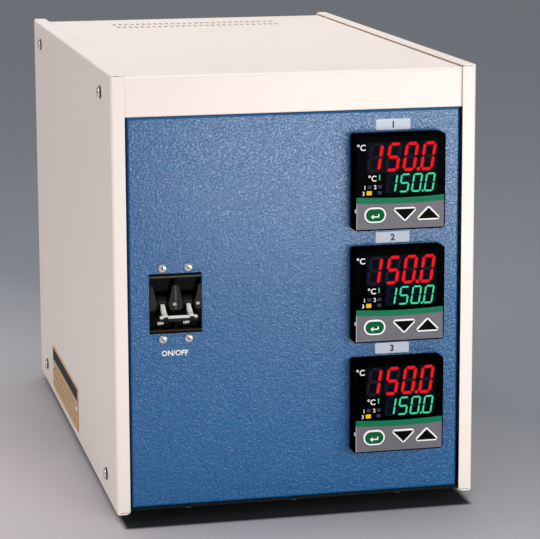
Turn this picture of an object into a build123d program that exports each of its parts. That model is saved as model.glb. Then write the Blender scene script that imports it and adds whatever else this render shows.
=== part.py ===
"""Three-zone tube furnace control console: a folded sheet-metal cabinet with a two-pole breaker
and three panel controllers on its front, solid-state relays on a heat sink inside, and the
furnace sockets on its back. Millimetres. +X right, +Y to the back, +Z up; the origin is on the
floor, under the middle of the whole object.
"""

import os
from math import cos, radians, sin

from build123d import *

# ---------------------------------------------------------------- cabinet
cabinet_width = 270.0
cabinet_depth = 444.0
cabinet_height = 323.0  # of the side panels
foot_gap = 6.5  # floor to the lower edge of the side panels
side_sheet = 1.2
rim_width = 10.0  # side panels turn in by this much all round
side_bend = 2.0  # outer radius of the side panels' bends
rim_corner = 3.0  # rounded free corner of each rim
rim_seam = 0.4  # open seam where two rims meet
fit_gap = 0.3  # between folded sheets that slide into each other
skin_gap = 0.1  # between sheets that screws draw together
face_recess = 2.5  # front, top and back faces lie this far inside the rims

# ---------------------------------------------------------------- top cover
cover_sheet = 1.2
cover_bend = 2.0
header_height = 28.9  # the cover folds down over the front by this much
header_return = 14.0
cover_rear_lip = 14.0
corner_relief = 0.6
flange_beyond_screw = 8.0
vent_columns = 28
vent_pitch = 5.2
vent_slot_width = 2.6
vent_slot_length = 13.0
vent_rows_from_rear = (49.5, 74.0)

# ---------------------------------------------------------------- front panel
panel_sheet = 1.5
panel_bend = 1.8
panel_return = 18.0
panel_side_gap = 1.5  # to the free edge of each side rim

# ---------------------------------------------------------------- base pan and rear panel
base_sheet = 2.0
base_flange = 28.0
base_rear_flange = 20.0
base_front_recess = 1.0
intake_columns = 14
intake_pitch = 10.0
intake_slot_width = 4.0
intake_slot_length = 34.0
intake_row_gap = 46.0
rear_sheet = 1.2
rear_return = 12.0
rear_return_gap = 4.0  # to the side flanges above and below

# ---------------------------------------------------------------- feet
foot_radius = 11.0
foot_inset_x = 32.0
foot_inset_y = 46.0
foot_bore_radius = 4.6
foot_bore_depth = 4.4
foot_edge = 1.4

# ---------------------------------------------------------------- fasteners
side_screw_inset_y = 48.0
side_screw_inset_z = 18.0
side_screw_radius = 2.4
side_screw_head_radius = 4.7
side_screw_head_height = 2.9
side_screw_length = 9.0
small_screw_radius = 2.0
small_screw_head_radius = 3.9
small_screw_head_height = 2.4
small_screw_grip = 4.0  # shank beyond the second sheet
head_crown = 0.6  # bevelled part of a pan head, as a share of its height
hole_clearance = 0.25  # radial, where a screw passes
thread_clearance = 0.05  # radial, where a screw bites
panel_screw_spacing = 80.0
panel_screw_inset = 9.5
rear_screw_top_drop = 8.0
rear_screw_base_rise = 13.0

# ---------------------------------------------------------------- data plate on the left side
plate_length = 156.0
plate_height = 36.5
plate_thickness = 0.8
plate_corner = 2.0
plate_from_rear = 91.0
plate_above_edge = 8.7
rivet_radius = 1.6
rivet_head_radius = 2.6
rivet_head_height = 0.9
rivet_inset = 4.5

# ---------------------------------------------------------------- two-pole breaker
breaker_edge_inset = 34.1  # breaker's centre to the front panel's left edge
breaker_z = 162.0
pole_pitch = 19.05
pole_gap = 0.1
pole_height = 63.5
pole_depth = 60.0
boss_height = 43.7
boss_proud = 0.8
cutout_gap = 0.3
breaker_screw_pitch = 52.37
breaker_screw_radius = 1.75
breaker_screw_head_radius = 3.3
breaker_screw_head_height = 2.1
breaker_screw_length = 12.0
well_depth = 6.8
well_height = 37.2
well_wide = 14.8
well_narrow = 8.6
well_cheek_height = 27.0
well_edge_wall = 0.8
pivot_depth = 8.0  # behind the front panel's face
pivot_pin_radius = 1.25
running_clearance = 0.06
hub_radius = 6.2
hub_width = 6.4
hub_clearance = 0.4
dome_wall = 2.2  # of the well's floor, round the hub
dome_overlap = 2.0
handle_reach = 21.0  # pivot to the tie bar's centre
handle_tip_width = 3.0
handle_root_thickness = 5.4
handle_tip_thickness = 5.6
handle_throw = 49.0  # degrees from off to on, even about the horizontal
tie_bar_size = 3.0
tie_bar_overhang = 2.6
stud_radius = 2.4
stud_length = 12.0
stud_nut_radius = 4.6
stud_nut_height = 3.4
stud_nut_gap = 1.5  # room for a ring terminal under the nut
stud_pitch = 38.0

# ---------------------------------------------------------------- zone controllers
zone_count = 3
controller_edge_inset = 48.5  # controllers' centres to the front panel's right edge
controller_z = 162.5  # middle one
controller_pitch = 83.5
bezel_width = 68.8
bezel_height = 70.6
bezel_depth = 12.5
bezel_corner = 2.4
bezel_edge = 1.2
face_border = 1.4
face_plate = 1.6
face_gap = 0.1
window_share = 0.647  # of the face's height, at its left and right ends
stripe_height = 4.3
band_sag = 1.2
fascia_proud = 0.5
set_key_length = 16.6
set_key_height = 11.6
arrow_key_length = 16.8
arrow_key_height = 10.3
arrow_key_corner = 1.9
key_proud = 0.9
key_depth = 4.2  # below the face plates' back
key_gap = 0.3
key_travel = 0.8
key_floor_gap = 0.4  # left behind a fully pressed key
key_edge = 0.5
set_key_x = -19.2
down_key_x = 3.2
up_key_x = 21.1
key_row = -23.4  # below the controller's centre
case_size = 66.0
case_length = 92.0
case_wall = 2.2
case_cutout_gap = 0.3
case_terminal_rows = 7
case_terminal_pitch = 8.2
case_terminal_depth = 7.0
case_terminal_reach = 16.0
case_terminal_rib = 1.6
case_screw_radius = 2.8
case_screw_proud = 2.2
case_corner = 2.0
collar_width = 3.4
collar_depth = 15.0
collar_gap = 0.3
collar_screw_radius = 1.6
collar_screw_proud = 2.0
collar_standoff = 3.0  # the clamp's own reach for the screws

# ---------------------------------------------------------------- relays and heat sink
sink_width = 156.0
sink_height = 176.0
sink_base = 7.0
sink_fin_depth = 34.0
sink_fin_thickness = 2.2
sink_fins = 15
sink_from_rear = 32.0  # fin tips to the back plane of the cabinet
sink_above_pan = 46.0
bracket_width = 26.0
bracket_sheet = 3.0
bracket_foot = 24.0
bracket_overlap = 30.0
relay_width = 45.0
relay_height = 58.0
relay_depth = 23.0
relay_pitch = 51.0
relay_step = 13.0
relay_step_depth = 6.0
relay_corner = 2.5
relay_above_bracket = 14.0
relay_screw_radius = 3.2
relay_screw_proud = 2.4

# ---------------------------------------------------------------- terminal strip
strip_poles = 12
strip_pitch = 11.0
strip_depth = 28.0
strip_height = 10.0
barrier_height = 6.0
barrier_thickness = 1.8
strip_screw_radius = 3.3
strip_screw_proud = 2.2
strip_from_front = 210.0

# ---------------------------------------------------------------- sockets, jacks, gland, earth stud
socket_z = 62.0
socket_pitch = 52.0
socket_flange = 36.0
socket_flange_thickness = 3.0
socket_flange_corner = 3.0
socket_shell_radius = 14.5
socket_bore_radius = 12.2
socket_proud = 16.0
socket_bore_depth = 12.0
socket_body_depth = 15.0
socket_screw_pitch = 27.0
socket_screw_radius = 1.5
socket_screw_head_radius = 2.7
socket_screw_head_height = 1.7
contact_slot_width = 2.0
contact_slot_height = 6.4
contact_circle_radius = 6.4
contact_slot_depth = 8.0
jack_z = 128.0
jack_pitch = 44.0
jack_width = 26.0
jack_height = 15.0
jack_proud = 4.0
jack_corner = 2.0
jack_body_inset = 2.4
jack_body_depth = 18.0
jack_slot_width = 1.3
jack_slot_height = 4.4
jack_small_slot_height = 3.4
jack_slot_pitch = 7.9
jack_slot_depth = 10.0
gland_edge_inset = 33.2  # from the rear panel's edge
gland_bore_radius = 6.0
gland_thread_radius = 9.8
gland_hex_radius = 13.4
gland_hex_thickness = 5.0
gland_dome_radius = 11.6
gland_dome_length = 16.0
gland_dome_crown = 4.5
gland_thread_length = 13.0
gland_nut_thickness = 5.0
earth_edge_inset = 27.2  # from the rear panel's other edge
earth_stud_radius = 3.0
earth_stud_proud = 15.0
earth_nut_radius = 5.8
earth_nut_thickness = 5.0
earth_head_thickness = 3.0

# ---------------------------------------------------------------- planes that the pieces share
key_front = bezel_depth + fascia_proud + key_proud  # ahead of the front panel's face
handle_front = handle_reach * cos(radians(handle_throw / 2)) + handle_tip_thickness / 2 - pivot_depth
front_reach = max(key_front, handle_front) - face_recess
rear_skin_depth = face_recess + cover_sheet + skin_gap
gland_reach = gland_hex_thickness + gland_dome_length
rear_reach = gland_reach - rear_skin_depth
middle_y = (front_reach - rear_reach) / 2
front_y = middle_y - cabinet_depth / 2
rear_y = middle_y + cabinet_depth / 2
half_width = cabinet_width / 2
side_z0 = foot_gap
side_z1 = foot_gap + cabinet_height
face_y = front_y + face_recess  # outer face of the header and the front panel
panel_back_y = face_y + panel_sheet
cover_top = side_z1 - face_recess
cover_half = half_width - side_sheet - fit_gap
header_z = cover_top - header_height
panel_z1 = header_z - fit_gap
base_z0 = side_z0 + side_sheet + fit_gap
base_z1 = base_z0 + base_sheet
panel_z0 = base_z1 + fit_gap
panel_half = half_width - rim_width - panel_side_gap
lip_y = rear_y - face_recess  # outer face of the cover's rear lip
rear_face_y = rear_y - rear_skin_depth
rear_inner_y = rear_face_y - rear_sheet
base_rear_y = rear_inner_y - skin_gap
rear_half = cover_half - base_sheet - fit_gap
side_screw_ys = (front_y + side_screw_inset_y, rear_y - side_screw_inset_y)
side_screw_zs = (side_z0 + side_screw_inset_z, side_z1 - side_screw_inset_z)
cover_flange = side_screw_inset_z - face_recess + flange_beyond_screw
foot_xs = (foot_inset_x - half_width, half_width - foot_inset_x)
foot_ys = (front_y + foot_inset_y, rear_y - foot_inset_y)
panel_screw_xs = (-panel_screw_spacing, 0.0, panel_screw_spacing)
breaker_x = breaker_edge_inset - panel_half
pole_xs = (breaker_x - pole_pitch / 2, breaker_x + pole_pitch / 2)
pivot_y = face_y + pivot_depth
controller_x = panel_half - controller_edge_inset
zone_zs = [controller_z + (1 - n) * controller_pitch for n in range(zone_count)]
zone_xs = [(n - 1) * socket_pitch for n in range(zone_count)]
jack_xs = [(n - 1) * jack_pitch for n in range(zone_count)]
gland_x = gland_edge_inset - rear_half
earth_x = rear_half - earth_edge_inset
bezel_front_y = face_y - bezel_depth
face_back_y = bezel_front_y + face_plate  # floor of the bezel's shallow front pocket
sink_fin_y = rear_y - sink_from_rear
sink_base_y = sink_fin_y - sink_fin_depth
sink_front_y = sink_base_y - sink_base
sink_z0 = base_z1 + sink_above_pan
strip_y = front_y + strip_from_front


def block(x0, x1, y0, y1, z0, z1):
    """A box between two opposite corners."""
    middle = ((x0 + x1) / 2, (y0 + y1) / 2, (z0 + z1) / 2)
    return Pos(*middle) * Box(x1 - x0, y1 - y0, z1 - z0)


def rod_x(x0, x1, y, z, radius):
    """A round bar along X."""
    return Pos((x0 + x1) / 2, y, z) * Rot(0, 90, 0) * Cylinder(radius, x1 - x0)


def rod_y(x, y0, y1, z, radius):
    """A round bar along Y."""
    return Pos(x, (y0 + y1) / 2, z) * Rot(90, 0, 0) * Cylinder(radius, y1 - y0)


def rod_z(x, y, z0, z1, radius):
    """A round bar along Z."""
    return Pos(x, y, (z0 + z1) / 2) * Cylinder(radius, z1 - z0)


def hex_y(x, y0, y1, z, radius):
    """A hexagonal bar along Y, radius to its corners."""
    profile = Plane.XZ * RegularPolygon(radius, 6)
    return Pos(x, y1, z) * extrude(profile, y1 - y0)


def hex_z(x, y, z0, z1, radius):
    """A hexagonal bar along Z, radius to its corners."""
    return Pos(x, y, z0) * extrude(RegularPolygon(radius, 6), z1 - z0)


def slots(width, length, columns, pitch, rows, sheet):
    """A cutter for rows of round-ended slots along Y, through a sheet between two heights."""
    places = [
        Pos((n - (columns - 1) / 2) * pitch, y) * Rot(0, 0, 90) for y in rows for n in range(columns)
    ]
    outline = Sketch() + [place * SlotOverall(length, width) for place in places]
    z0, z1 = sheet
    return Pos(0, 0, z0) * extrude(outline, z1 - z0)


def about(value):
    """A narrow range that picks edges or faces at a coordinate."""
    return value - 0.01, value + 0.01


def pan_head_screw(radius, length, head_radius, head_height):
    """A screw whose head stands on the XY plane and whose shank hangs below it."""
    head = Cylinder(head_radius, head_height, align=(Align.CENTER, Align.CENTER, Align.MIN))
    head = chamfer(head.edges().sort_by(Axis.Z)[-1], head_crown * head_height)
    return head + rod_z(0, 0, -length, head_height / 2, radius)


# ================================================================= cabinet shells
def side_panel():
    """The left side panel: a shallow pan whose rims turn in along all four edges."""
    x0 = -half_width
    outer = block(x0, x0 + rim_width, front_y, rear_y, side_z0, side_z1)
    outer = fillet(outer.faces().sort_by(Axis.X)[0].edges(), side_bend)
    t = side_sheet
    inner = block(x0 + t, x0 + rim_width + 1, front_y + t, rear_y - t, side_z0 + t, side_z1 - t)
    inner = fillet(inner.faces().sort_by(Axis.X)[0].edges(), side_bend - t)
    pan = outer - inner
    edge_x = x0 + rim_width
    seam_x0 = x0 + side_bend
    for y0, y1, inward in ((front_y, front_y + t, 1), (rear_y - t, rear_y, -1)):
        for z0, z1, upward in ((side_z0, side_z0 + t, 1), (side_z1 - t, side_z1, -1)):
            seam_z = z1 if upward > 0 else z0 - rim_seam
            pan -= block(seam_x0, edge_x, y0 - 1, y1 + 1, seam_z, seam_z + rim_seam)
            corner_y = y0 if inward > 0 else y1
            corner_z = z0 if upward > 0 else z1
            tip_z = corner_z + upward * rim_corner
            tip_y = corner_y + inward * rim_corner
            square = block(edge_x - rim_corner, edge_x + 1, y0 - 1, y1 + 1, *sorted((corner_z, tip_z)))
            pan -= square - rod_y(edge_x - rim_corner, y0 - 1, y1 + 1, tip_z, rim_corner)
            square = block(edge_x - rim_corner, edge_x + 1, *sorted((corner_y, tip_y)), z0 - 0.5, z1 + 0.5)
            pan -= square - rod_z(edge_x - rim_corner, tip_y, z0 - 0.5, z1 + 0.5, rim_corner)
    for y in side_screw_ys:
        for z in side_screw_zs:
            pan -= rod_x(x0 - 1, x0 + t + 1, y, z, side_screw_radius + hole_clearance)
    return pan


def plate_middle():
    """Middle of the data plate, as (y, z)."""
    y = rear_y - plate_from_rear - plate_length / 2
    return y, side_z0 + plate_above_edge + plate_height / 2


def rivet_ys():
    y, _ = plate_middle()
    reach = plate_length / 2 - rivet_inset
    return y - reach, y + reach


def left_side_panel():
    """The left panel also takes the data plate's two rivets."""
    panel = side_panel()
    _, z = plate_middle()
    for y in rivet_ys():
        panel -= rod_x(-half_width - 1, -half_width + side_sheet + 1, y, z, rivet_radius + thread_clearance)
    return panel


def data_plate():
    y, z = plate_middle()
    outer_x = -half_width - plate_thickness
    half_l, half_h = plate_length / 2, plate_height / 2
    plate = block(outer_x, -half_width, y - half_l, y + half_l, z - half_h, z + half_h)
    plate = fillet(plate.edges().filter_by(Axis.X), plate_corner)
    for rivet_y in rivet_ys():
        plate -= rod_x(outer_x - 1, -half_width + 1, rivet_y, z, rivet_radius + thread_clearance)
    return plate


def data_plate_rivets():
    _, z = plate_middle()
    rivet = pan_head_screw(rivet_radius, plate_thickness + side_sheet, rivet_head_radius, rivet_head_height)
    face = -half_width - plate_thickness
    return Compound([Pos(face, y, z) * Rot(0, -90, 0) * rivet for y in rivet_ys()])


def top_cover():
    """Top sheet, header folded down in front, side flanges and rear lip, with the hot-air slots."""
    t = cover_sheet
    outer = block(-cover_half, cover_half, face_y, lip_y, header_z, cover_top)
    outer = fillet(outer.faces().sort_by(Axis.Z)[-1].edges(), cover_bend)
    inner = block(-cover_half + t, cover_half - t, face_y + t, lip_y - t, header_z - 1, cover_top - t)
    inner = fillet(inner.faces().sort_by(Axis.Z)[-1].edges(), cover_bend - t)
    cover = outer - inner
    # Each flap ends at its own depth, and a slit parts it from the next one.
    flange_z = cover_top - cover_flange
    lip_z = cover_top - cover_rear_lip
    rear_cut_y = lip_y - cover_bend
    front_cut_y = face_y + cover_bend
    for side in (-1, 1):
        x0, x1 = sorted((side * (cover_half + 1), side * (cover_half - cover_bend)))
        cover -= block(x0, x1, front_cut_y, lip_y + 1, header_z - 1, flange_z)
        slit_z1 = cover_top - cover_bend
        cover -= block(x0, x1, front_cut_y, front_cut_y + corner_relief, header_z - 1, slit_z1)
        cover -= block(x0, x1, rear_cut_y - corner_relief, rear_cut_y, header_z - 1, slit_z1)
    rear_slit_y = rear_cut_y - corner_relief
    cover -= block(-cover_half - 1, cover_half + 1, rear_slit_y, lip_y + 1, header_z - 1, lip_z)
    fold = block(-panel_half, panel_half, face_y, face_y + header_return, header_z, header_z + t)
    cover += fold
    lower_edges = cover.edges().filter_by(Axis.X).filter_by_position(Axis.Z, *about(header_z))
    cover = fillet(lower_edges.filter_by_position(Axis.Y, *about(face_y)), 0.75 * t)
    rows = [rear_y - inset for inset in vent_rows_from_rear]
    sheet = (cover_top - t - 1, cover_top + 1)
    cover -= slots(vent_slot_width, vent_slot_length, vent_columns, vent_pitch, rows, sheet)
    for side in (-1, 1):
        x0, x1 = sorted((side * (cover_half + 1), side * (cover_half - t - 1)))
        for y in side_screw_ys:
            cover -= rod_x(x0, x1, y, side_screw_zs[1], side_screw_radius + thread_clearance)
    for x in panel_screw_xs:
        hole = small_screw_radius + thread_clearance
        cover -= rod_z(x, face_y + panel_screw_inset, header_z - 1, header_z + t + 1, hole)
        hole = small_screw_radius + hole_clearance
        cover -= rod_y(x, lip_y - t - 1, lip_y + 1, cover_top - rear_screw_top_drop, hole)
    return cover


def front_panel():
    """The coloured front: a pan that turns back all round, cut for the breaker and controllers."""
    t = panel_sheet
    back = face_y + panel_return
    outer = block(-panel_half, panel_half, face_y, back, panel_z0, panel_z1)
    outer = fillet(outer.faces().sort_by(Axis.Y)[0].edges(), panel_bend)
    inner = block(-panel_half + t, panel_half - t, face_y + t, back + 1, panel_z0 + t, panel_z1 - t)
    inner = fillet(inner.faces().sort_by(Axis.Y)[0].edges(), panel_bend - t)
    panel = outer - inner
    through = (face_y - 1, panel_back_y + 1)
    cut_x, cut_z = pole_pitch + cutout_gap, boss_height / 2 + cutout_gap
    panel -= block(breaker_x - cut_x, breaker_x + cut_x, *through, breaker_z - cut_z, breaker_z + cut_z)
    for x in pole_xs:
        for z in (breaker_z - breaker_screw_pitch / 2, breaker_z + breaker_screw_pitch / 2):
            panel -= rod_y(x, *through, z, breaker_screw_radius + hole_clearance)
    cut = case_size / 2 + case_cutout_gap
    for z in zone_zs:
        panel -= block(controller_x - cut, controller_x + cut, *through, z - cut, z + cut)
    for x in panel_screw_xs:
        y = face_y + panel_screw_inset
        panel -= rod_z(x, y, panel_z1 - t - 1, panel_z1 + 1, small_screw_radius + hole_clearance)
        panel -= rod_z(x, y, panel_z0 - 1, panel_z0 + t + 1, small_screw_radius + thread_clearance)
    return panel


def base_pan():
    """Floor of the cabinet, with side flanges for the side screws and one for the rear panel."""
    t = base_sheet
    front = face_y + base_front_recess
    pan = block(-cover_half, cover_half, front, base_rear_y, base_z0, base_z1)
    side_front = face_y + panel_return + fit_gap
    inset = t + 2 * corner_relief
    for side in (-1, 1):
        x0, x1 = sorted((side * cover_half, side * (cover_half - t)))
        pan += block(x0, x1, side_front, base_rear_y - inset, base_z0, base_z0 + base_flange)
    rear_half_width = cover_half - inset
    rear_flange_z = base_z0 + base_rear_flange
    pan += block(-rear_half_width, rear_half_width, base_rear_y - t, base_rear_y, base_z0, rear_flange_z)
    folds = pan.edges().filter_by_position(Axis.Z, *about(base_z0))
    long_folds = [edge for edge in folds.filter_by(Axis.Y) if edge.length > cabinet_depth / 2]
    pan = fillet(long_folds, 0.9 * t)
    rear_row = (sink_front_y + sink_fin_y) / 2
    rows = (rear_row, rear_row - intake_row_gap)
    sheet = (base_z0 - 1, base_z1 + 1)
    pan -= slots(intake_slot_width, intake_slot_length, intake_columns, intake_pitch, rows, sheet)
    for side in (-1, 1):
        x0, x1 = sorted((side * (cover_half + 1), side * (cover_half - t - 1)))
        for y in side_screw_ys:
            pan -= rod_x(x0, x1, y, side_screw_zs[0], side_screw_radius + thread_clearance)
    for x in panel_screw_xs:
        y = face_y + panel_screw_inset
        pan -= rod_z(x, y, base_z0 - 1, base_z1 + 1, small_screw_radius + hole_clearance)
        hole_z = base_z0 + rear_screw_base_rise
        pan -= rod_y(x, base_rear_y - t - 1, base_rear_y + 1, hole_z, small_screw_radius + thread_clearance)
    for x in foot_xs:
        for y in foot_ys:
            pan -= rod_z(x, y, base_z0 - 1, base_z1 + 1, small_screw_radius + thread_clearance)
    return pan


def rear_panel():
    """Back of the cabinet, cut for the furnace sockets, jacks, supply gland and earth stud."""
    t = rear_sheet
    z1 = cover_top - cover_bend - fit_gap
    panel = block(-rear_half, rear_half, rear_inner_y, rear_face_y, panel_z0, z1)
    return_z0 = base_z0 + base_flange + rear_return_gap
    return_z1 = cover_top - cover_flange - rear_return_gap
    for side in (-1, 1):
        x0, x1 = sorted((side * rear_half, side * (rear_half - t)))
        panel += block(x0, x1, rear_inner_y - rear_return, rear_inner_y + t / 2, return_z0, return_z1)
    through = (rear_inner_y - 1, rear_face_y + 1)
    for x in panel_screw_xs:
        top_z = cover_top - rear_screw_top_drop
        panel -= rod_y(x, *through, top_z, small_screw_radius + thread_clearance)
        panel -= rod_y(x, *through, base_z0 + rear_screw_base_rise, small_screw_radius + hole_clearance)
    for x in zone_xs:
        panel -= rod_y(x, *through, socket_z, socket_shell_radius + cutout_gap)
        for dx, dz in socket_screw_places():
            panel -= rod_y(x + dx, *through, socket_z + dz, socket_screw_radius + thread_clearance)
    half_w = jack_width / 2 - jack_body_inset + cutout_gap
    half_h = jack_height / 2 - jack_body_inset + cutout_gap
    for x in jack_xs:
        panel -= block(x - half_w, x + half_w, *through, jack_z - half_h, jack_z + half_h)
    panel -= rod_y(gland_x, *through, socket_z, gland_thread_radius + hole_clearance)
    panel -= rod_y(earth_x, *through, socket_z, earth_stud_radius + hole_clearance)
    return panel


# ================================================================= feet and screws
def rubber_feet():
    """Four round rubber feet, each counterbored from below for its screw."""
    foot = Cylinder(foot_radius, base_z0, align=(Align.CENTER, Align.CENTER, Align.MIN))
    foot = chamfer(foot.edges().sort_by(Axis.Z)[0], foot_edge)
    foot -= rod_z(0, 0, -1, foot_bore_depth, foot_bore_radius)
    foot -= rod_z(0, 0, 0, base_z0 + 1, small_screw_radius + hole_clearance)
    return Compound([Pos(x, y, 0) * foot for x in foot_xs for y in foot_ys])


def foot_screws():
    """One screw up through each foot into the base pan, its head in the counterbore."""
    length = base_z1 - foot_bore_depth
    screw = pan_head_screw(small_screw_radius, length, small_screw_head_radius, small_screw_head_height)
    return Compound([Pos(x, y, foot_bore_depth) * Rot(180, 0, 0) * screw for x in foot_xs for y in foot_ys])


def side_panel_screws():
    """Four screws in each side panel, into the cover's and the base pan's flanges."""
    screw = pan_head_screw(
        side_screw_radius, side_screw_length, side_screw_head_radius, side_screw_head_height
    )
    places = []
    for y in side_screw_ys:
        for z in side_screw_zs:
            places.append(Pos(-half_width, y, z) * Rot(0, -90, 0) * screw)
            places.append(Pos(half_width, y, z) * Rot(0, 90, 0) * screw)
    return Compound(places)


def panel_screws():
    """Screws that tie the front and rear panels to the cover's folds and to the base pan."""
    head = (small_screw_head_radius, small_screw_head_height)
    stack = panel_sheet + fit_gap + cover_sheet
    top = pan_head_screw(small_screw_radius, stack + small_screw_grip, *head)
    stack = base_sheet + fit_gap + panel_sheet
    bottom = pan_head_screw(small_screw_radius, stack + small_screw_grip, *head)
    stack = cover_sheet + skin_gap + rear_sheet
    rear_top = pan_head_screw(small_screw_radius, stack + small_screw_grip, *head)
    stack = rear_sheet + skin_gap + base_sheet
    rear_base = pan_head_screw(small_screw_radius, stack + small_screw_grip, *head)
    places = []
    y = face_y + panel_screw_inset
    for x in panel_screw_xs:
        places.append(Pos(x, y, panel_z1 - panel_sheet) * Rot(180, 0, 0) * top)
        places.append(Pos(x, y, base_z0) * Rot(180, 0, 0) * bottom)
        places.append(Pos(x, lip_y, cover_top - rear_screw_top_drop) * Rot(-90, 0, 0) * rear_top)
        places.append(Pos(x, rear_face_y, base_z0 + rear_screw_base_rise) * Rot(-90, 0, 0) * rear_base)
    return Compound(places)


# ================================================================= breaker
def well_outline():
    """Hourglass opening of a breaker pole's finger well, in the XZ plane, about its centre."""
    wide, narrow = well_wide / 2, well_narrow / 2
    full = pole_pitch / 2 - pole_gap - well_edge_wall
    top, cheek = well_height / 2, well_cheek_height / 2
    points = [(full, top), (full, cheek + 1.2), (wide, cheek), (narrow, 0)]
    points += [(wide, -cheek), (full, -cheek - 1.2), (full, -top)]
    points += [(-x, z) for x, z in reversed(points)]
    return Plane.XZ * make_face(Polyline(*points, close=True))


def breaker_pole(x):
    """One pole: moulded case behind the panel, with a boss and finger well that show through it."""
    half = (pole_pitch - pole_gap) / 2
    rise = pole_height / 2
    case_back = panel_back_y + pole_depth
    case = block(x - half, x + half, panel_back_y, case_back, breaker_z - rise, breaker_z + rise)
    rise = boss_height / 2
    boss_front = face_y - boss_proud
    case += block(x - half, x + half, boss_front, panel_back_y + 1, breaker_z - rise, breaker_z + rise)
    well = extrude(well_outline(), well_depth + 1)
    case -= Pos(x, boss_front + well_depth, breaker_z) * well
    # The floor of the well bulges round the handle's hub.
    dome = hub_radius + dome_wall
    dome_half = well_narrow / 2 + dome_overlap
    bulge = rod_x(x - dome_half, x + dome_half, pivot_y, breaker_z, dome)
    inside = block(x - half, x + half, boss_front + 1, pivot_y, breaker_z - dome, breaker_z + dome)
    case += bulge & inside
    pocket_half = hub_width / 2 + hub_clearance
    case -= rod_x(x - pocket_half, x + pocket_half, pivot_y, breaker_z, hub_radius + hub_clearance)
    # The lever's slot opens the dome over the whole throw.
    swing = radians(handle_throw / 2)
    margin = hub_clearance + handle_root_thickness / 2
    reach = handle_reach
    fan = [(0, margin * 1.2), (-reach * cos(swing), reach * sin(swing) + margin)]
    fan += [(-reach * cos(swing), -reach * sin(swing) - margin), (0, -margin * 1.2)]
    slot = extrude(Plane.YZ * make_face(Polyline(*fan, close=True)), pocket_half, both=True)
    case -= Pos(x, pivot_y, breaker_z) * slot
    case -= rod_x(x - half - 1, x + half + 1, pivot_y, breaker_z, pivot_pin_radius + 0.02)
    hole_end = panel_back_y + breaker_screw_length
    for z in (breaker_z - breaker_screw_pitch / 2, breaker_z + breaker_screw_pitch / 2):
        case -= rod_y(x, panel_back_y - 1, hole_end, z, breaker_screw_radius + thread_clearance)
    return case


def breaker_handle(x):
    """A hub on the pivot pin with a tapered lever, tilted down to its off position."""
    lever_tip = handle_reach + handle_tip_thickness / 2
    root, tip = handle_root_thickness / 2, handle_tip_thickness / 2
    side = Polyline((0, root), (-handle_reach * 0.75, root * 0.62), (-lever_tip + tip, tip))
    side += ThreePointArc((-lever_tip + tip, tip), (-lever_tip, 0), (-lever_tip + tip, -tip))
    side += Polyline((-lever_tip + tip, -tip), (-handle_reach * 0.75, -root * 0.62), (0, -root), (0, root))
    lever = extrude(Plane.YZ * make_face(side), handle_tip_width / 2, both=True)
    handle = lever + rod_x(-hub_width / 2, hub_width / 2, 0, 0, hub_radius)
    handle -= rod_x(-hub_width, hub_width, 0, 0, pivot_pin_radius + running_clearance)
    bar = tie_bar_size / 2 + 0.05
    handle -= block(-hub_width, hub_width, -handle_reach - bar, -handle_reach + bar, -bar, bar)
    return Pos(x, pivot_y, breaker_z) * Rot(handle_throw / 2, 0, 0) * handle


def handle_tie_bar():
    """Square bar through both levers, so that the poles switch together."""
    half = tie_bar_size / 2
    reach = pole_pitch / 2 + handle_tip_width / 2 + tie_bar_overhang
    bar = block(-reach, reach, -handle_reach - half, -handle_reach + half, -half, half)
    return Pos(breaker_x, pivot_y, breaker_z) * Rot(handle_throw / 2, 0, 0) * bar


def breaker_pivot_pin():
    reach = pole_pitch - 1.0
    return rod_x(breaker_x - reach, breaker_x + reach, pivot_y, breaker_z, pivot_pin_radius)


def breaker_screws():
    screw = pan_head_screw(
        breaker_screw_radius, breaker_screw_length, breaker_screw_head_radius, breaker_screw_head_height
    )
    rise = breaker_screw_pitch / 2
    places = [(x, z) for x in pole_xs for z in (breaker_z - rise, breaker_z + rise)]
    return Compound([Pos(x, face_y, z) * Rot(90, 0, 0) * screw for x, z in places])


def breaker_terminals():
    """Line and load studs with their nuts, on the back of each pole."""
    back = panel_back_y + pole_depth
    nut_end = back + stud_nut_gap + stud_nut_height
    studs = []
    for x in pole_xs:
        for z in (breaker_z - stud_pitch / 2, breaker_z + stud_pitch / 2):
            stud = rod_y(x, back, back + stud_length, z, stud_radius)
            studs.append(stud + hex_y(x, back + stud_nut_gap, nut_end, z, stud_nut_radius))
    return Compound(studs)


# ================================================================= zone controllers
def face_half():
    """Half the width and half the height of the face plates inside the bezel's border."""
    return bezel_width / 2 - face_border, bezel_height / 2 - face_border


def band_outline(top, bottom, sag_top, sag_bottom, half):
    """A strip in the XZ plane whose upper and lower edges sag in the middle by the given amounts."""
    lines = Line((-half, bottom), (-half, top)) + Line((half, top), (half, bottom))
    for level, sag in ((top, sag_top), (bottom, sag_bottom)):
        left, right = (-half, level), (half, level)
        lines += ThreePointArc(left, (0, level - sag), right) if sag else Line(left, right)
    return Plane.XZ * make_face(lines)


def band_heights():
    """Heights of the window's lower edge and of the fascia's upper edge at the face's sides."""
    _, half = face_half()
    window_z = half - 2 * half * window_share
    return window_z, window_z - stripe_height


def key_outline(kind, grow):
    """A key's outline in the XZ plane about its own centre, grown by a clearance."""
    if kind == "set":
        outline = SlotOverall(set_key_length + 2 * grow, set_key_height + 2 * grow)
    else:
        way = 1 if kind == "up" else -1
        half = arrow_key_length / 2 - arrow_key_corner
        rise = way * (arrow_key_height / 2 - arrow_key_corner)
        corner = Circle(arrow_key_corner + grow)
        corners = [Pos(-half, -rise) * corner, Pos(half, -rise) * corner, Pos(0, rise) * corner]
        outline = make_hull([edge for disc in corners for edge in disc.edges()])
    return Plane.XZ * outline


KEYS = {"set": set_key_x, "down": down_key_x, "up": up_key_x}


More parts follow.
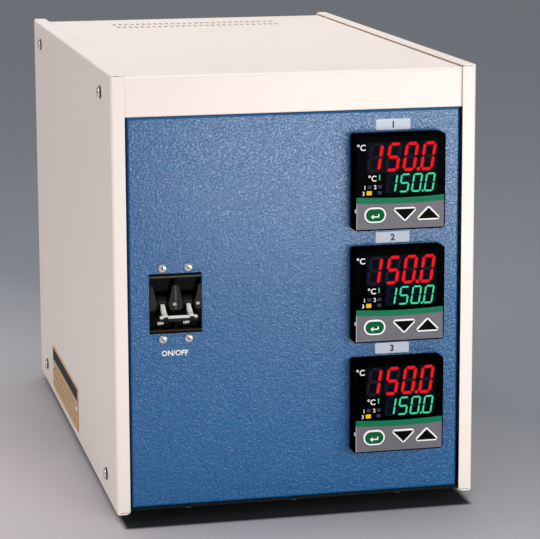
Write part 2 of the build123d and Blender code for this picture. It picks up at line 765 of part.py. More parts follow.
def controller_bezel(z):
    """Front frame of a controller, with a shallow pocket for its face plates and wells for keys."""
    half_x, half_z = bezel_width / 2, bezel_height / 2
    bezel = block(-half_x, half_x, bezel_front_y, face_y, -half_z, half_z)
    bezel = fillet(bezel.edges().filter_by(Axis.Y), bezel_corner)
    bezel = chamfer(bezel.faces().sort_by(Axis.Y)[0].edges(), bezel_edge / 2, bezel_edge)
    inner_x, inner_z = (half + face_gap for half in face_half())
    bezel -= block(-inner_x, inner_x, bezel_front_y - 1, face_back_y, -inner_z, inner_z)
    well_bottom = face_back_y + key_depth + key_travel + key_floor_gap
    for kind, x in KEYS.items():
        well = extrude(key_outline(kind, key_gap), well_bottom - face_back_y + 1)
        bezel -= Pos(x, well_bottom, key_row) * well
    return Pos(controller_x, 0, z) * bezel


def controller_window(z):
    """Smoked display window; its lower edge follows the coloured band below it."""
    window_z, _ = band_heights()
    half_x, half_z = face_half()
    outline = band_outline(half_z, window_z, 0, band_sag, half_x)
    window = extrude(outline, face_plate)
    return Pos(controller_x, face_back_y, z) * window


def controller_fascia(z):
    """Key fascia under the band, with an opening for each key."""
    _, fascia_z = band_heights()
    half_x, half_z = face_half()
    outline = band_outline(fascia_z, -half_z, band_sag, 0, half_x)
    fascia = extrude(outline, face_plate + fascia_proud)
    for kind, x in KEYS.items():
        hole = extrude(key_outline(kind, key_gap), face_plate + fascia_proud + 2)
        fascia -= Pos(x, 1, key_row) * hole
    return Pos(controller_x, face_back_y, z) * fascia


def controller_stripe(z):
    """Coloured band between the window and the fascia."""
    window_z, fascia_z = band_heights()
    half_x, _ = face_half()
    outline = band_outline(window_z - face_gap, fascia_z + face_gap, band_sag, band_sag, half_x)
    return Pos(controller_x, face_back_y, z) * extrude(outline, face_plate + fascia_proud)


def controller_key(kind, z):
    """A rubber key that slides back through the fascia into the bezel's well."""
    length = key_depth + face_plate + fascia_proud + key_proud
    key = extrude(key_outline(kind, 0), length)
    key = fillet(key.faces().sort_by(Axis.Y)[0].edges(), key_edge)
    return Pos(controller_x + KEYS[kind], face_back_y + key_depth, z + key_row) * key


def controller_case(z):
    """Housing behind the panel, with two columns of screw terminals on its back."""
    half = case_size / 2
    y0, y1 = face_y, face_y + case_length
    case = block(-half, half, y0, y1, -half, half)
    case = fillet(case.edges().filter_by(Axis.Y), case_corner)
    w = case_wall
    case -= block(-half + w, half - w, y0 + w, y1 - case_terminal_depth - w, -half + w, half - w)
    rise = (case_terminal_rows - 1) / 2
    for side in (-1, 1):
        for row in range(case_terminal_rows):
            level = (row - rise) * case_terminal_pitch
            floor_y = y1 - case_terminal_depth
            x0, x1 = sorted((side * (half + 1), side * (half - case_terminal_reach)))
            cell = (case_terminal_pitch - case_terminal_rib) / 2
            case -= block(x0, x1, floor_y, y1 + 1, level - cell, level + cell)
            x = side * (half - case_terminal_reach / 2)
            case += rod_y(x, floor_y - 1, floor_y + case_screw_proud, level, case_screw_radius)
    return Pos(controller_x, 0, z) * case


def controller_collars():
    """Clamp frames round the cases, each with two screws that press on the panel's back."""
    inner = case_size / 2 + collar_gap
    outer = inner + collar_width
    y0 = panel_back_y + collar_standoff
    y1 = y0 + collar_depth
    collar = block(-outer, outer, y0, y1, -outer, outer)
    collar -= block(-inner, inner, y0 - 1, y1 + 1, -inner, inner)
    for side in (-1, 1):
        x = side * (inner + collar_width / 2)
        collar += rod_y(x, panel_back_y, y1 + collar_screw_proud, 0, collar_screw_radius)
    return Compound([Pos(controller_x, 0, z) * collar for z in zone_zs])


# ================================================================= relays and heat sink
def heat_sink():
    """Extruded sink that stands upright: base plate to the front, fins to the back."""
    half = sink_width / 2
    profile = Sketch() + Pos(0, (sink_front_y + sink_base_y) / 2) * Rectangle(sink_width, sink_base)
    step = (sink_width - sink_fin_thickness) / (sink_fins - 1)
    for n in range(sink_fins):
        x = -half + sink_fin_thickness / 2 + n * step
        profile += Pos(x, (sink_base_y + sink_fin_y) / 2 - 0.5) * Rectangle(
            sink_fin_thickness, sink_fin_depth + 1
        )
    return Pos(0, 0, sink_z0) * extrude(profile, sink_height)


def sink_brackets():
    """Two angle brackets that carry the sink from the base pan, against its front face."""
    brackets = []
    t = bracket_sheet
    for side in (-1, 1):
        x = side * (sink_width - bracket_width) / 2
        x0, x1 = x - bracket_width / 2, x + bracket_width / 2
        upright = block(x0, x1, sink_front_y - t, sink_front_y, base_z1, sink_z0 + bracket_overlap)
        foot = block(x0, x1, sink_front_y - bracket_foot, sink_front_y, base_z1, base_z1 + t)
        gusset_points = [(0, 0), (-bracket_foot + t, 0), (0, bracket_foot - t)]
        gusset = extrude(Plane.YZ * make_face(Polyline(*gusset_points, close=True)), t / 2, both=True)
        brackets.append(upright + foot + Pos(x, sink_front_y - t, base_z1 + t) * gusset)
    return Compound(brackets)


def zone_relay(x):
    """Solid-state relay, screwed flat on the sink, with terminals at its stepped ends."""
    half_w, half_h = relay_width / 2, relay_height / 2
    z = sink_z0 + bracket_overlap + relay_above_bracket + half_h
    y1 = sink_front_y
    body = block(x - half_w, x + half_w, y1 - relay_depth, y1, z - half_h, z + half_h)
    body = fillet(body.edges().filter_by(Axis.Y), relay_corner)
    step_y = y1 - relay_depth + relay_step_depth
    for way in (-1, 1):
        z0, z1 = sorted((z + way * (half_h + 1), z + way * (half_h - relay_step)))
        body -= block(x - half_w - 1, x + half_w + 1, y1 - relay_depth - 1, step_y, z0, z1)
        for side in (-1, 1):
            screw_z = z + way * (half_h - relay_step / 2)
            screw_x = x + side * relay_width / 4
            body += rod_y(screw_x, step_y - relay_screw_proud, step_y + 1, screw_z, relay_screw_radius)
    return body


def terminal_strip():
    """Barrier strip on the base pan that the supply and load wires land on."""
    half_l = strip_poles * strip_pitch / 2 + barrier_thickness / 2
    y0, y1 = strip_y - strip_depth / 2, strip_y + strip_depth / 2
    deck_z = base_z1 + strip_height
    strip = block(-half_l, half_l, y0, y1, base_z1, deck_z)
    for n in range(strip_poles + 1):
        x = (n - strip_poles / 2) * strip_pitch
        half_t = barrier_thickness / 2
        strip += block(x - half_t, x + half_t, y0, y1, deck_z - 1, deck_z + barrier_height)
    return strip


def terminal_strip_screws():
    z0 = base_z1 + strip_height
    places = []
    for n in range(strip_poles):
        x = (n + 0.5 - strip_poles / 2) * strip_pitch
        for y in (strip_y - strip_depth / 4, strip_y + strip_depth / 4):
            places.append(rod_z(x, y, z0, z0 + strip_screw_proud, strip_screw_radius))
    return Compound(places)


# ================================================================= back of the cabinet
def socket_screw_places():
    half = socket_screw_pitch / 2
    return [(dx, dz) for dx in (-half, half) for dz in (-half, half)]


def output_socket(x):
    """Flanged round socket for one furnace zone: open shell, insert with three blade slots."""
    y = rear_face_y
    half = socket_flange / 2
    flange = block(x - half, x + half, y, y + socket_flange_thickness, socket_z - half, socket_z + half)
    flange = fillet(flange.edges().filter_by(Axis.Y), socket_flange_corner)
    body = flange + rod_y(x, y - socket_body_depth, y + socket_proud, socket_z, socket_shell_radius)
    floor_y = y + socket_proud - socket_bore_depth
    body -= rod_y(x, floor_y, y + socket_proud + 1, socket_z, socket_bore_radius)
    slot = Box(contact_slot_width, 2 * contact_slot_depth, contact_slot_height)
    for angle in (90, 210, 330):
        body -= Pos(x, floor_y, socket_z) * Rot(0, -angle, 0) * Pos(contact_circle_radius, 0, 0) * slot
    hole = socket_screw_radius + hole_clearance
    for dx, dz in socket_screw_places():
        body -= rod_y(x + dx, y - 1, y + socket_flange_thickness + 1, socket_z + dz, hole)
    return body


def socket_screws():
    screw = pan_head_screw(
        socket_screw_radius,
        socket_flange_thickness + rear_sheet + 2.0,
        socket_screw_head_radius,
        socket_screw_head_height,
    )
    y = rear_face_y + socket_flange_thickness
    places = [(x + dx, socket_z + dz) for x in zone_xs for dx, dz in socket_screw_places()]
    return Compound([Pos(x, y, z) * Rot(-90, 0, 0) * screw for x, z in places])


def thermocouple_jacks():
    """Three panel jacks, one per zone, each with a broad and a narrow blade slot."""
    jacks = []
    y = rear_face_y
    for x in jack_xs:
        half_w, half_h = jack_width / 2, jack_height / 2
        jack = block(x - half_w, x + half_w, y, y + jack_proud, jack_z - half_h, jack_z + half_h)
        jack = fillet(jack.edges().filter_by(Axis.Y), jack_corner)
        body_w, body_h = half_w - jack_body_inset, half_h - jack_body_inset
        jack += block(x - body_w, x + body_w, y - jack_body_depth, y + 1, jack_z - body_h, jack_z + body_h)
        for side, slot_height in ((-1, jack_slot_height), (1, jack_small_slot_height)):
            slot_x = x + side * jack_slot_pitch / 2
            rise = slot_height / 2
            jack -= block(
                slot_x - jack_slot_width / 2,
                slot_x + jack_slot_width / 2,
                y + jack_proud - jack_slot_depth,
                y + jack_proud + 1,
                jack_z - rise,
                jack_z + rise,
            )
        jacks.append(jack)
    return Compound(jacks)


def supply_gland():
    """Cable gland for the supply lead: hexagon, dome nut and threaded stem in one piece."""
    y = rear_face_y
    gland = hex_y(gland_x, y, y + gland_hex_thickness, socket_z, gland_hex_radius)
    dome = rod_y(gland_x, y + gland_hex_thickness - 0.5, y + gland_reach, socket_z, gland_dome_radius)
    dome = fillet(dome.edges().sort_by(Axis.Y)[-1], gland_dome_crown)
    gland += dome
    gland += rod_y(gland_x, y - gland_thread_length, y + 1, socket_z, gland_thread_radius)
    gland -= rod_y(gland_x, y - gland_thread_length - 1, y + gland_reach + 1, socket_z, gland_bore_radius)
    return gland


def gland_locknut():
    """Hexagonal nut that clamps the gland from inside."""
    y1 = rear_inner_y
    y0 = y1 - gland_nut_thickness
    nut = hex_y(gland_x, y0, y1, socket_z, gland_hex_radius)
    return nut - rod_y(gland_x, y0 - 1, y1 + 1, socket_z, gland_thread_radius + thread_clearance)


def earth_stud():
    """Protective earth stud: head inside, nut outside, free thread beyond the nut."""
    y = rear_face_y
    head_y = rear_inner_y - earth_head_thickness
    stud = rod_y(earth_x, head_y, y + earth_stud_proud, socket_z, earth_stud_radius)
    stud += hex_y(earth_x, head_y, rear_inner_y, socket_z, earth_nut_radius)
    stud += hex_y(earth_x, y, y + earth_nut_thickness, socket_z, earth_nut_radius)
    return stud


# ================================================================= all pieces
def all_parts():
    """Every sub-part of the console, by name."""
    left = left_side_panel()
    parts = {
        "left_side_panel": left,
        "right_side_panel": mirror(side_panel(), about=Plane.YZ),
        "top_cover": top_cover(),
        "front_panel": front_panel(),
        "base_pan": base_pan(),
        "rear_panel": rear_panel(),
        "rubber_feet": rubber_feet(),
        "foot_screws": foot_screws(),
        "side_panel_screws": side_panel_screws(),
        "panel_screws": panel_screws(),
        "data_plate": data_plate(),
        "data_plate_rivets": data_plate_rivets(),
        "breaker_left_pole": breaker_pole(pole_xs[0]),
        "breaker_right_pole": breaker_pole(pole_xs[1]),
        "breaker_left_handle": breaker_handle(pole_xs[0]),
        "breaker_right_handle": breaker_handle(pole_xs[1]),
        "handle_tie_bar": handle_tie_bar(),
        "breaker_pivot_pin": breaker_pivot_pin(),
        "breaker_screws": breaker_screws(),
        "breaker_terminals": breaker_terminals(),
        "controller_collars": controller_collars(),
        "heat_sink": heat_sink(),
        "sink_brackets": sink_brackets(),
        "terminal_strip": terminal_strip(),
        "terminal_strip_screws": terminal_strip_screws(),
        "socket_screws": socket_screws(),
        "thermocouple_jacks": thermocouple_jacks(),
        "supply_gland": supply_gland(),
        "gland_locknut": gland_locknut(),
        "earth_stud": earth_stud(),
    }
    for n in range(zone_count):
        zone = f"zone_{n + 1}"
        z = zone_zs[n]
        parts[f"{zone}_bezel"] = controller_bezel(z)
        parts[f"{zone}_window"] = controller_window(z)
        parts[f"{zone}_fascia"] = controller_fascia(z)
        parts[f"{zone}_stripe"] = controller_stripe(z)
        parts[f"{zone}_case"] = controller_case(z)
        for kind in KEYS:
            parts[f"{zone}_{kind}_key"] = controller_key(kind, z)
        parts[f"{zone}_relay"] = zone_relay((n - 1) * relay_pitch)
        parts[f"{zone}_output_socket"] = output_socket(zone_xs[n])
    return parts


os.makedirs("parts", exist_ok=True)
for name, shape in all_parts().items():
    export_step(shape, f"parts/{name}.step")
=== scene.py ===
from math import cos, pi, radians, sin

import bmesh
import bpy
from mathutils import Matrix, Vector


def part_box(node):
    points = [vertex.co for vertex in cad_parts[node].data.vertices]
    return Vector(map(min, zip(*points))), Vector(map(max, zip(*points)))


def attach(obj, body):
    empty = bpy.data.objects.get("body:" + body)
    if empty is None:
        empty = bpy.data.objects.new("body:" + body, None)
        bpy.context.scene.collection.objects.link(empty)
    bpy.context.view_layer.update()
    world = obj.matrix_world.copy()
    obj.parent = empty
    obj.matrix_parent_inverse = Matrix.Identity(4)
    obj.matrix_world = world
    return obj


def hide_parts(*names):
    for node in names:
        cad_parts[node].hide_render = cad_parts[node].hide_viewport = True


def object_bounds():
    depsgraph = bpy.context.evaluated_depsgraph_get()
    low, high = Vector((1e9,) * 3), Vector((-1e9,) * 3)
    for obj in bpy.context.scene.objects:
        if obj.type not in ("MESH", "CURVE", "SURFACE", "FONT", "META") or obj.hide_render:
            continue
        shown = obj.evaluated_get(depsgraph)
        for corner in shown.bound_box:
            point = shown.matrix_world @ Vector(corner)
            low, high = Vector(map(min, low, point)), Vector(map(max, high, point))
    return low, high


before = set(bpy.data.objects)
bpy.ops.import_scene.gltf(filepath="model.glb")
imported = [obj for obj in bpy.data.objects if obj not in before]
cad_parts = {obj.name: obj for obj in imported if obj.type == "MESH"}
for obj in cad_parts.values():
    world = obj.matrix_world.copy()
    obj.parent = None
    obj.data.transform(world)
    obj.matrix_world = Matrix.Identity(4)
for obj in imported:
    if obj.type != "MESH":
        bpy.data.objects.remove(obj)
cad_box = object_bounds()

# ---------------------------------------------------------------- camera
# A long lens, a little above the cabinet's top and to the left of its middle, tipped down at it,
# with the front standard dropped a little so the uprights draw together less.
camera_place = Vector((-0.3717, -1.7784, 0.5113))
camera_turn = radians(-12.759)
camera_tilt = radians(10.232)
camera_roll = radians(-0.217)
camera = bpy.data.objects.new("camera", bpy.data.cameras.new("camera"))
camera.data.sensor_fit = "HORIZONTAL"
camera.data.sensor_width = 36.0
camera.data.lens = 149.3
camera.data.shift_y = -0.1
camera.matrix_world = (
    Matrix.Translation(camera_place)
    @ Matrix.Rotation(camera_turn, 4, "Z")
    @ Matrix.Rotation(pi / 2 - camera_tilt, 4, "X")
    @ Matrix.Rotation(camera_roll, 4, "Z")
)
bpy.context.collection.objects.link(camera)
bpy.context.scene.camera = camera
bpy.context.scene.view_settings.view_transform = "Standard"


# ---------------------------------------------------------------- floor and light
# A plain pale floor, painted darker away from the camera and to the right as painted shade, and painted
# near black where the cabinet stands close over it as a painted shadow, and a soft even sky that shows as
# plain grey. A key lamp hangs in front at the left, a card stands low in front at the right, a wide lamp
# far out fills the left side, and one overhead lifts the top.
MM = 0.001


class Wire:
    """One value in a shader; sums on it add the Math nodes that work them out."""

    def __init__(self, finish, socket):
        self.finish = finish
        self.socket = socket

    def maths(self, operation, *values):
        return self.finish.add("Math", {"operation": operation}, dict(enumerate(values)))

    def __add__(self, other):
        return self.maths("ADD", self, other)

    __radd__ = __add__

    def __sub__(self, other):
        return self.maths("SUBTRACT", self, other)

    def __rsub__(self, other):
        return self.maths("SUBTRACT", other, self)

    def __mul__(self, other):
        return self.maths("MULTIPLY", self, other)

    __rmul__ = __mul__

    def __truediv__(self, other):
        return self.maths("DIVIDE", self, other)

    def __gt__(self, other):
        return self.maths("GREATER_THAN", self, other)

    def __lt__(self, other):
        return self.maths("LESS_THAN", self, other)

    def __abs__(self):
        return self.maths("ABSOLUTE", self)

    def __pow__(self, power):
        return self.maths("POWER", self, power)

    def held(self, low=0.0, high=1.0):
        """The value, kept between two limits."""
        return self.finish.add("Clamp", {}, {0: self, 1: low, 2: high})

    def blend(self, first, second):
        """A colour from first to second as the value goes from 0 to 1."""
        return self.finish.add("Mix", {"data_type": "RGBA"}, {0: self, 6: first, 7: second}, 2)


class Finish:
    """A material round one Principled shader, with its nodes added one call at a time."""

    def __init__(self, name, colour, roughness, **fixed):
        self.material = bpy.data.materials.new(name)
        self.material.use_nodes = True
        self.tree = self.material.node_tree
        self.shader = self.tree.nodes["Principled BSDF"]
        self.paint(colour, roughness)
        for socket, value in fixed.items():
            self.shader.inputs[socket.replace("_", " ").title().replace("Ior", "IOR")].default_value = value

    def add(self, kind, settings, inputs, output=0):
        node = self.tree.nodes.new("ShaderNode" + kind)
        for setting, value in settings.items():
            setattr(node, setting, value)
        for socket, value in inputs.items():
            self.feed(node.inputs[socket], value)
        return Wire(self, node.outputs[output])

    def feed(self, socket, value):
        if isinstance(value, Wire):
            self.tree.links.new(value.socket, socket)
        else:
            socket.default_value = value

    def paint(self, colour=None, roughness=None, **more):
        """Sets or links the shader's colour, roughness and other sockets."""
        given = {"Base Color": colour, "Roughness": roughness, **more}
        for socket, value in given.items():
            if value is not None:
                self.feed(self.shader.inputs[socket], value)

    def place(self):
        """The point on the object, in metres."""
        return self.add("TexCoord", {}, {}, "Object")

    def axis(self, letter):
        return self.add("SeparateXYZ", {}, {0: self.place()}, letter)

    def noise(self, per_metre, detail=2.0, rough=0.5, twist=0.0, stretch=(1, 1, 1)):
        """Soft random value about 0.5, with so many lumps to a metre."""
        scaled = self.add("Mapping", {}, {"Vector": self.place(), "Scale": stretch})
        sockets = {"Vector": scaled, "Scale": per_metre, "Detail": detail}
        sockets.update({"Roughness": rough, "Distortion": twist})
        return self.add("TexNoise", {}, sockets, "Fac")

    def relief(self, height, depth_mm, strength=1.0):
        """Bumps the surface by a height from 0 to 1."""
        sockets = {"Height": height, "Distance": depth_mm * MM, "Strength": strength}
        self.paint(Normal=self.add("Bump", {}, sockets, "Normal"))


def tone(red, green, blue):
    """A colour from its 0 to 255 display values."""

    def linear(value):
        share = value / 255
        return ((share + 0.055) / 1.055) ** 2.4 if value > 10 else share / 12.92

    return (linear(red), linear(green), linear(blue), 1.0)


backdrop = tone(133, 138, 144)
floor_pale = tone(187, 181, 184)
floor_painted_shade = tone(126, 131, 138)

# Painted shadow: the floor is painted near black under the cabinet, fading out just beside and in front of
# it.
floor_painted_shadow = tone(10, 14, 15)

floor_finish = Finish("floor_paper", floor_pale, 0.9)
# Painted shade: the floor is painted darker away from the camera and to the right.
fade_start, fade_to_right = 0.5, 2
painted_shade_share = (floor_finish.axis("Y") + fade_to_right * floor_finish.axis("X") + fade_start).held()
side_inset, rear_inset = 9 * MM, 60 * MM
side_reach, front_reach = 4 * MM, 5 * MM
beside = abs(floor_finish.axis("X")) - cad_box[1][0] + side_inset
in_front = cad_box[0][1] - floor_finish.axis("Y")
behind = floor_finish.axis("Y") - cad_box[1][1] + rear_inset
covered = (1 - beside / side_reach).held() * (1 - in_front / front_reach).held() * (behind < 0.0)
open_floor = painted_shade_share.blend(floor_pale, floor_painted_shade)
floor_finish.paint(covered.blend(open_floor, floor_painted_shadow))
floor_finish.relief(floor_finish.noise(900), 0.02)
floor_half, floor_near, floor_far = 6, -4, 9
floor_corners = [(-floor_half, floor_near, 0), (floor_half, floor_near, 0)]
floor_corners += [(floor_half, floor_far, 0), (-floor_half, floor_far, 0)]
floor_mesh = bpy.data.meshes.new("floor")
floor_mesh.from_pydata(floor_corners, [], [(0, 1, 2, 3)])
floor_mesh.materials.append(floor_finish.material)
floor = bpy.data.objects.new("floor", floor_mesh)
bpy.context.collection.objects.link(floor)

world = bpy.data.worlds.new("studio")
bpy.context.scene.world = world
world.use_nodes = True
sky = world.node_tree
sky_light = sky.nodes["Background"]
sky_light.inputs["Color"].default_value = (1.0, 1.0, 1.0, 1.0)
sky_light.inputs["Strength"].default_value = 0.67
seen_sky = sky.nodes.new("ShaderNodeBackground")
seen_sky.inputs["Color"].default_value = backdrop
rays = sky.nodes.new("ShaderNodeLightPath")
straight = sky.nodes.new("ShaderNodeMixShader")
shown_to = rays.outputs["Is Camera Ray"]
for ray in ("Is Glossy Ray", "Is Transmission Ray"):
    either = sky.nodes.new("ShaderNodeMath")
    either.operation = "MAXIMUM"
    sky.links.new(shown_to, either.inputs[0])
    sky.links.new(rays.outputs[ray], either.inputs[1])
    shown_to = either.outputs[0]
sky.links.new(shown_to, straight.inputs["Fac"])
sky.links.new(sky_light.outputs[0], straight.inputs[1])
sky.links.new(seen_sky.outputs[0], straight.inputs[2])
sky.links.new(straight.outputs[0], sky.nodes["World Output"].inputs["Surface"])


def soft_lamp(name, place, aim, wide, tall, watts):
    lamp = bpy.data.lights.new(name, "AREA")
    lamp.shape = "RECTANGLE"
    lamp.size = wide
    lamp.size_y = tall
    lamp.energy = watts
    holder = bpy.data.objects.new(name, lamp)
    holder.location = place
    holder.rotation_mode = "QUATERNION"
    holder.rotation_quaternion = (Vector(aim) - Vector(place)).to_track_quat("-Z", "Y")
    bpy.context.collection.objects.link(holder)


soft_lamp("key_lamp", (-0.5, -1.05, 1.05), (0, -0.2, 0.25), 0.45, 0.45, 0.9)
soft_lamp("front_card", (0.26, -0.85, 0.18), (0.04, -0.22, 0.2), 0.5, 0.22, 2.65)
soft_lamp("side_fill", (-2.1, -0.2, 1.1), (-0.13, 0, 0.2), 0.9, 0.9, 6.5)
soft_lamp("top_lamp", (0.0, 0.2, 1.5), (0, 0.05, 0.33), 0.8, 0.8, 8.5)


# ---------------------------------------------------------------- cabinet shells
# Folded sheet steel under a smooth ivory powder coat: two side pans, one sheet for the top and the
# header, and the rear panel. The coat has a faint orange peel and is a little duller in places.
def dress(node, finish):
    """Gives a CAD node its material."""
    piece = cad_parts[node]
    piece.data.materials.clear()
    piece.data.materials.append(finish.material)


ivory = Finish("ivory_powder_coat", tone(240, 227, 216), 0.42)
ivory_shade = ivory.noise(9, 3.0)
peel = ivory.noise(420, 2.0)
ivory.paint(ivory_shade.blend(tone(238, 225, 215), tone(244, 232, 225)), 0.36 + 0.12 * ivory.noise(60))
ivory.relief(peel, 0.06, 0.6)
for node in ("left_side_panel", "right_side_panel", "top_cover", "rear_panel"):
    dress(node, ivory)


# ---------------------------------------------------------------- front panel
# The blue front is a sheet-steel pan with a leather-grain texture paint: a close net of wormy
# wrinkles a millimetre or two across, semi-gloss, painted lighter on their crests as a painted highlight
# and with small light specks as painted glints.
blue = Finish("blue_leather_grain", tone(8, 96, 139), 0.3, specular_ior_level=0.6)
worms = blue.noise(500, 2.0, 0.55, 0.9, (1.15, 1.0, 1.0))
fleck = blue.noise(1500, 1.0)
broad = blue.noise(230, 3.0, 0.6, 0.5)
crest_start, crest_rise = 0.4, 0.22
speck_start, speck_rise = 0.62, 0.1
crest = ((worms - crest_start) / crest_rise).held()
valley_blue = broad.blend(tone(0, 76, 128), tone(0, 86, 140))
# Painted highlight: the crests' blue is lighter than the valleys'.
crest_highlight_blue = broad.blend(tone(0, 90, 144), tone(28, 102, 156))
# Painted glints: small light specks painted into the colour where the fine noise peaks.
painted_glint = ((fleck - speck_start) / speck_rise).held() * 0.3
grained = (crest * 0.7).blend(valley_blue, crest_highlight_blue)
blue.paint(painted_glint.blend(grained, tone(110, 150, 190)), 0.17 + 0.05 * broad)
blue.relief(crest * 0.7 + broad * 0.5 + fleck * 0.1, 0.25, 0.7)
dress("front_panel", blue)

# ---------------------------------------------------------------- base pan
# Folded sheet steel under a black powder coat. It closes the cabinet from below, and from the front
# only its edge shows, as a dark line under the blue panel.
black_coat = Finish("black_powder_coat", tone(8, 8, 9), 0.55, specular_ior_level=0.2)
black_coat.paint(black_coat.noise(40, 3.0).blend(tone(5, 5, 6), tone(14, 14, 15)))
black_coat.relief(black_coat.noise(700), 0.02, 0.5)
dress("base_pan", black_coat)

# ---------------------------------------------------------------- feet
# Four round moulded rubber feet, each held to the base pan by a screw, with a dull skin that has
# picked up a little dust.
rubber = Finish("foot_rubber", tone(24, 24, 25), 0.75)
dust = (rubber.noise(120, 4.0, 0.7) - 0.45).held() * 0.5
rubber.paint(dust.blend(tone(20, 20, 21), tone(88, 86, 84)), 0.68 + 0.2 * dust)
rubber.relief(rubber.noise(900, 3.0), 0.04, 0.6)
dress("rubber_feet", rubber)

# ---------------------------------------------------------------- screws
# Zinc-plated pan-head machine screws with a cross recess: eight large ones in the side panels, four
# at the breaker and small ones round the outlets. The other screws, the rivets, the sink's brackets
# and the breaker's pivot pin have the same plating.
zinc = Finish("zinc_plate", tone(236, 234, 229), 0.3, metallic=0.6)
zinc_cloud = zinc.noise(900, 3.0)
zinc.paint(zinc_cloud.blend(tone(222, 221, 218), tone(248, 246, 240)), 0.22 + 0.16 * zinc_cloud)


def lathe(name, profile, steps=32):
    """A closed solid turned about Z from (radius, height) points that start and end on the axis."""
    shape = bmesh.new()
    rings = []
    for radius, height in profile:
        if radius == 0:
            rings.append([shape.verts.new((0, 0, height))])
            continue
        turns = [2 * pi * n / steps for n in range(steps)]
        rings.append([shape.verts.new((radius * cos(a), radius * sin(a), height)) for a in turns])
    for low, high in zip(rings, rings[1:]):
        for n in range(steps):
            corners = [low[n % len(low)], low[(n + 1) % len(low)]]
            corners += [high[(n + 1) % len(high)], high[n % len(high)]]
            shape.faces.new(list(dict.fromkeys(corners)))
    return take_mesh(name, shape)


def take_mesh(name, shape):
    """Turns a bmesh into a mesh with its faces outward."""
    bmesh.ops.recalc_face_normals(shape, faces=shape.faces)
    mesh = bpy.data.meshes.new(name)
    shape.to_mesh(mesh)
    shape.free()
    return mesh


def show(name, mesh, finish, body="cabinet", smooth=False, instead_of=()):
    """Puts a mesh on the object: its finish, the body it rides on and the nodes it stands for."""
    piece = bpy.data.objects.new(name, mesh)
    bpy.context.collection.objects.link(piece)
    mesh.materials.append(finish.material)
    for face in mesh.polygons:
        face.use_smooth = smooth
    if smooth:
        mesh.set_sharp_from_angle(angle=radians(35))
    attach(piece, body)
    if instead_of:
        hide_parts(*instead_of)
    return piece


def copies(name, mesh, places):
    """One mesh that holds a copy of another at each placing matrix."""
    joined = bmesh.new()
    for matrix in places:
        copy = mesh.copy()
        copy.transform(matrix)
        joined.from_mesh(copy)
        bpy.data.meshes.remove(copy)
    return take_mesh(name, joined)


def cross_head(name, radius, height, shank_radius, shank_length):
    """A pan-head screw along +Z with a tapered cross recess, its seat at the origin.

    The recess is two bars that taper from mouth to foot. Each end has a length and a width as shares
    of the head's radius, and a height as a share of the head's height.
    """
    mouth = (1.12, 0.26, 1.3)
    foot = (0.62, 0.16, 0.35)
    crown = [(radius * cos(t), height * (0.3 + 0.7 * sin(t))) for t in (0, 0.35, 0.7, 1.05, 1.35)]
    profile = [(0, -shank_length), (shank_radius, -shank_length), (shank_radius, 0), (radius, 0)]
    screw = bpy.data.objects.new(name, lathe(name, profile + crown + [(0, height)]))
    bar = bmesh.new()
    bmesh.ops.create_cube(bar, size=1)
    for corner in bar.verts:
        long, wide, high = foot if corner.co.z < 0 else mouth
        corner.co.x *= radius * long
        corner.co.y *= radius * wide
        corner.co.z = height * high
    cutter = bpy.data.objects.new(name + "_cutter", take_mesh(name + "_cutter", bar))
    other = bpy.data.objects.new(name + "_cutter2", cutter.data.copy())
    other.data.transform(Matrix.Rotation(pi / 2, 4, "Z"))
    for tool in (screw, cutter, other):
        bpy.context.collection.objects.link(tool)
    for tool in (cutter, other):
        cut = screw.modifiers.new("recess", "BOOLEAN")
        cut.operation = "DIFFERENCE"
        cut.solver = "EXACT"
        cut.object = tool
    bpy.context.view_layer.update()
    mesh = bpy.data.meshes.new_from_object(screw.evaluated_get(bpy.context.evaluated_depsgraph_get()))
    for tool in (screw, cutter, other):
        bpy.data.objects.remove(tool)
    return mesh


def islands(node):
    """The (lowest, highest) corners of each separate solid in a node."""
    shape = bmesh.new()
    shape.from_mesh(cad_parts[node].data)
    bmesh.ops.remove_doubles(shape, verts=shape.verts, dist=1e-6)
    waiting = set(shape.verts)
    boxes = []
    while waiting:
        stack = [waiting.pop()]
        found = list(stack)
        while stack:
            for edge in stack.pop().link_edges:
                for end in edge.verts:
                    if end in waiting:
                        waiting.discard(end)
                        stack.append(end)
                        found.append(end)
        low = Vector([min(v.co[k] for v in found) for k in range(3)])
        high = Vector([max(v.co[k] for v in found) for k in range(3)])
        boxes.append((low, high))
    shape.free()
    return sorted(boxes, key=lambda pair: tuple(pair[0]))


def facing(direction, spin=0.0):
    """The turn that points +Z along a direction, after a spin about it."""
    return Vector(direction).to_track_quat("Z", "Y").to_matrix().to_4x4() @ Matrix.Rotation(spin, 4, "Z")


def screws_like(node, head, towards, finish=zinc):
    """Cross-head screws at a node's solids; towards gives each box's outward direction."""
    shank_radius, head_radius, head_height = (size * MM for size in head)
    first_spin, spin_step = 0.4, 1.1
    places, length = [], 0
    for n, (low, high) in enumerate(islands(node)):
        out = Vector(towards((low + high) / 2))
        axis = max(range(3), key=lambda k: abs(out[k]))
        tip = high[axis] if out[axis] > 0 else low[axis]
        middle = (low + high) / 2
        middle[axis] = tip - out[axis] * head_height
        length = high[axis] - low[axis] - head_height
        places.append(Matrix.Translation(middle) @ facing(out, first_spin + spin_step * n))
    screw = cross_head(node + "_one", head_radius, head_height, shank_radius, length)
    mesh = copies(node + "_heads", screw, places)
    show(node + "_heads", mesh, finish, smooth=True, instead_of=[node])


def sideways(middle):
    return (1 if middle.x > 0 else -1, 0, 0)


def fore_and_aft(middle):
    return (0, 1 if middle.y > 0 else -1, 0)


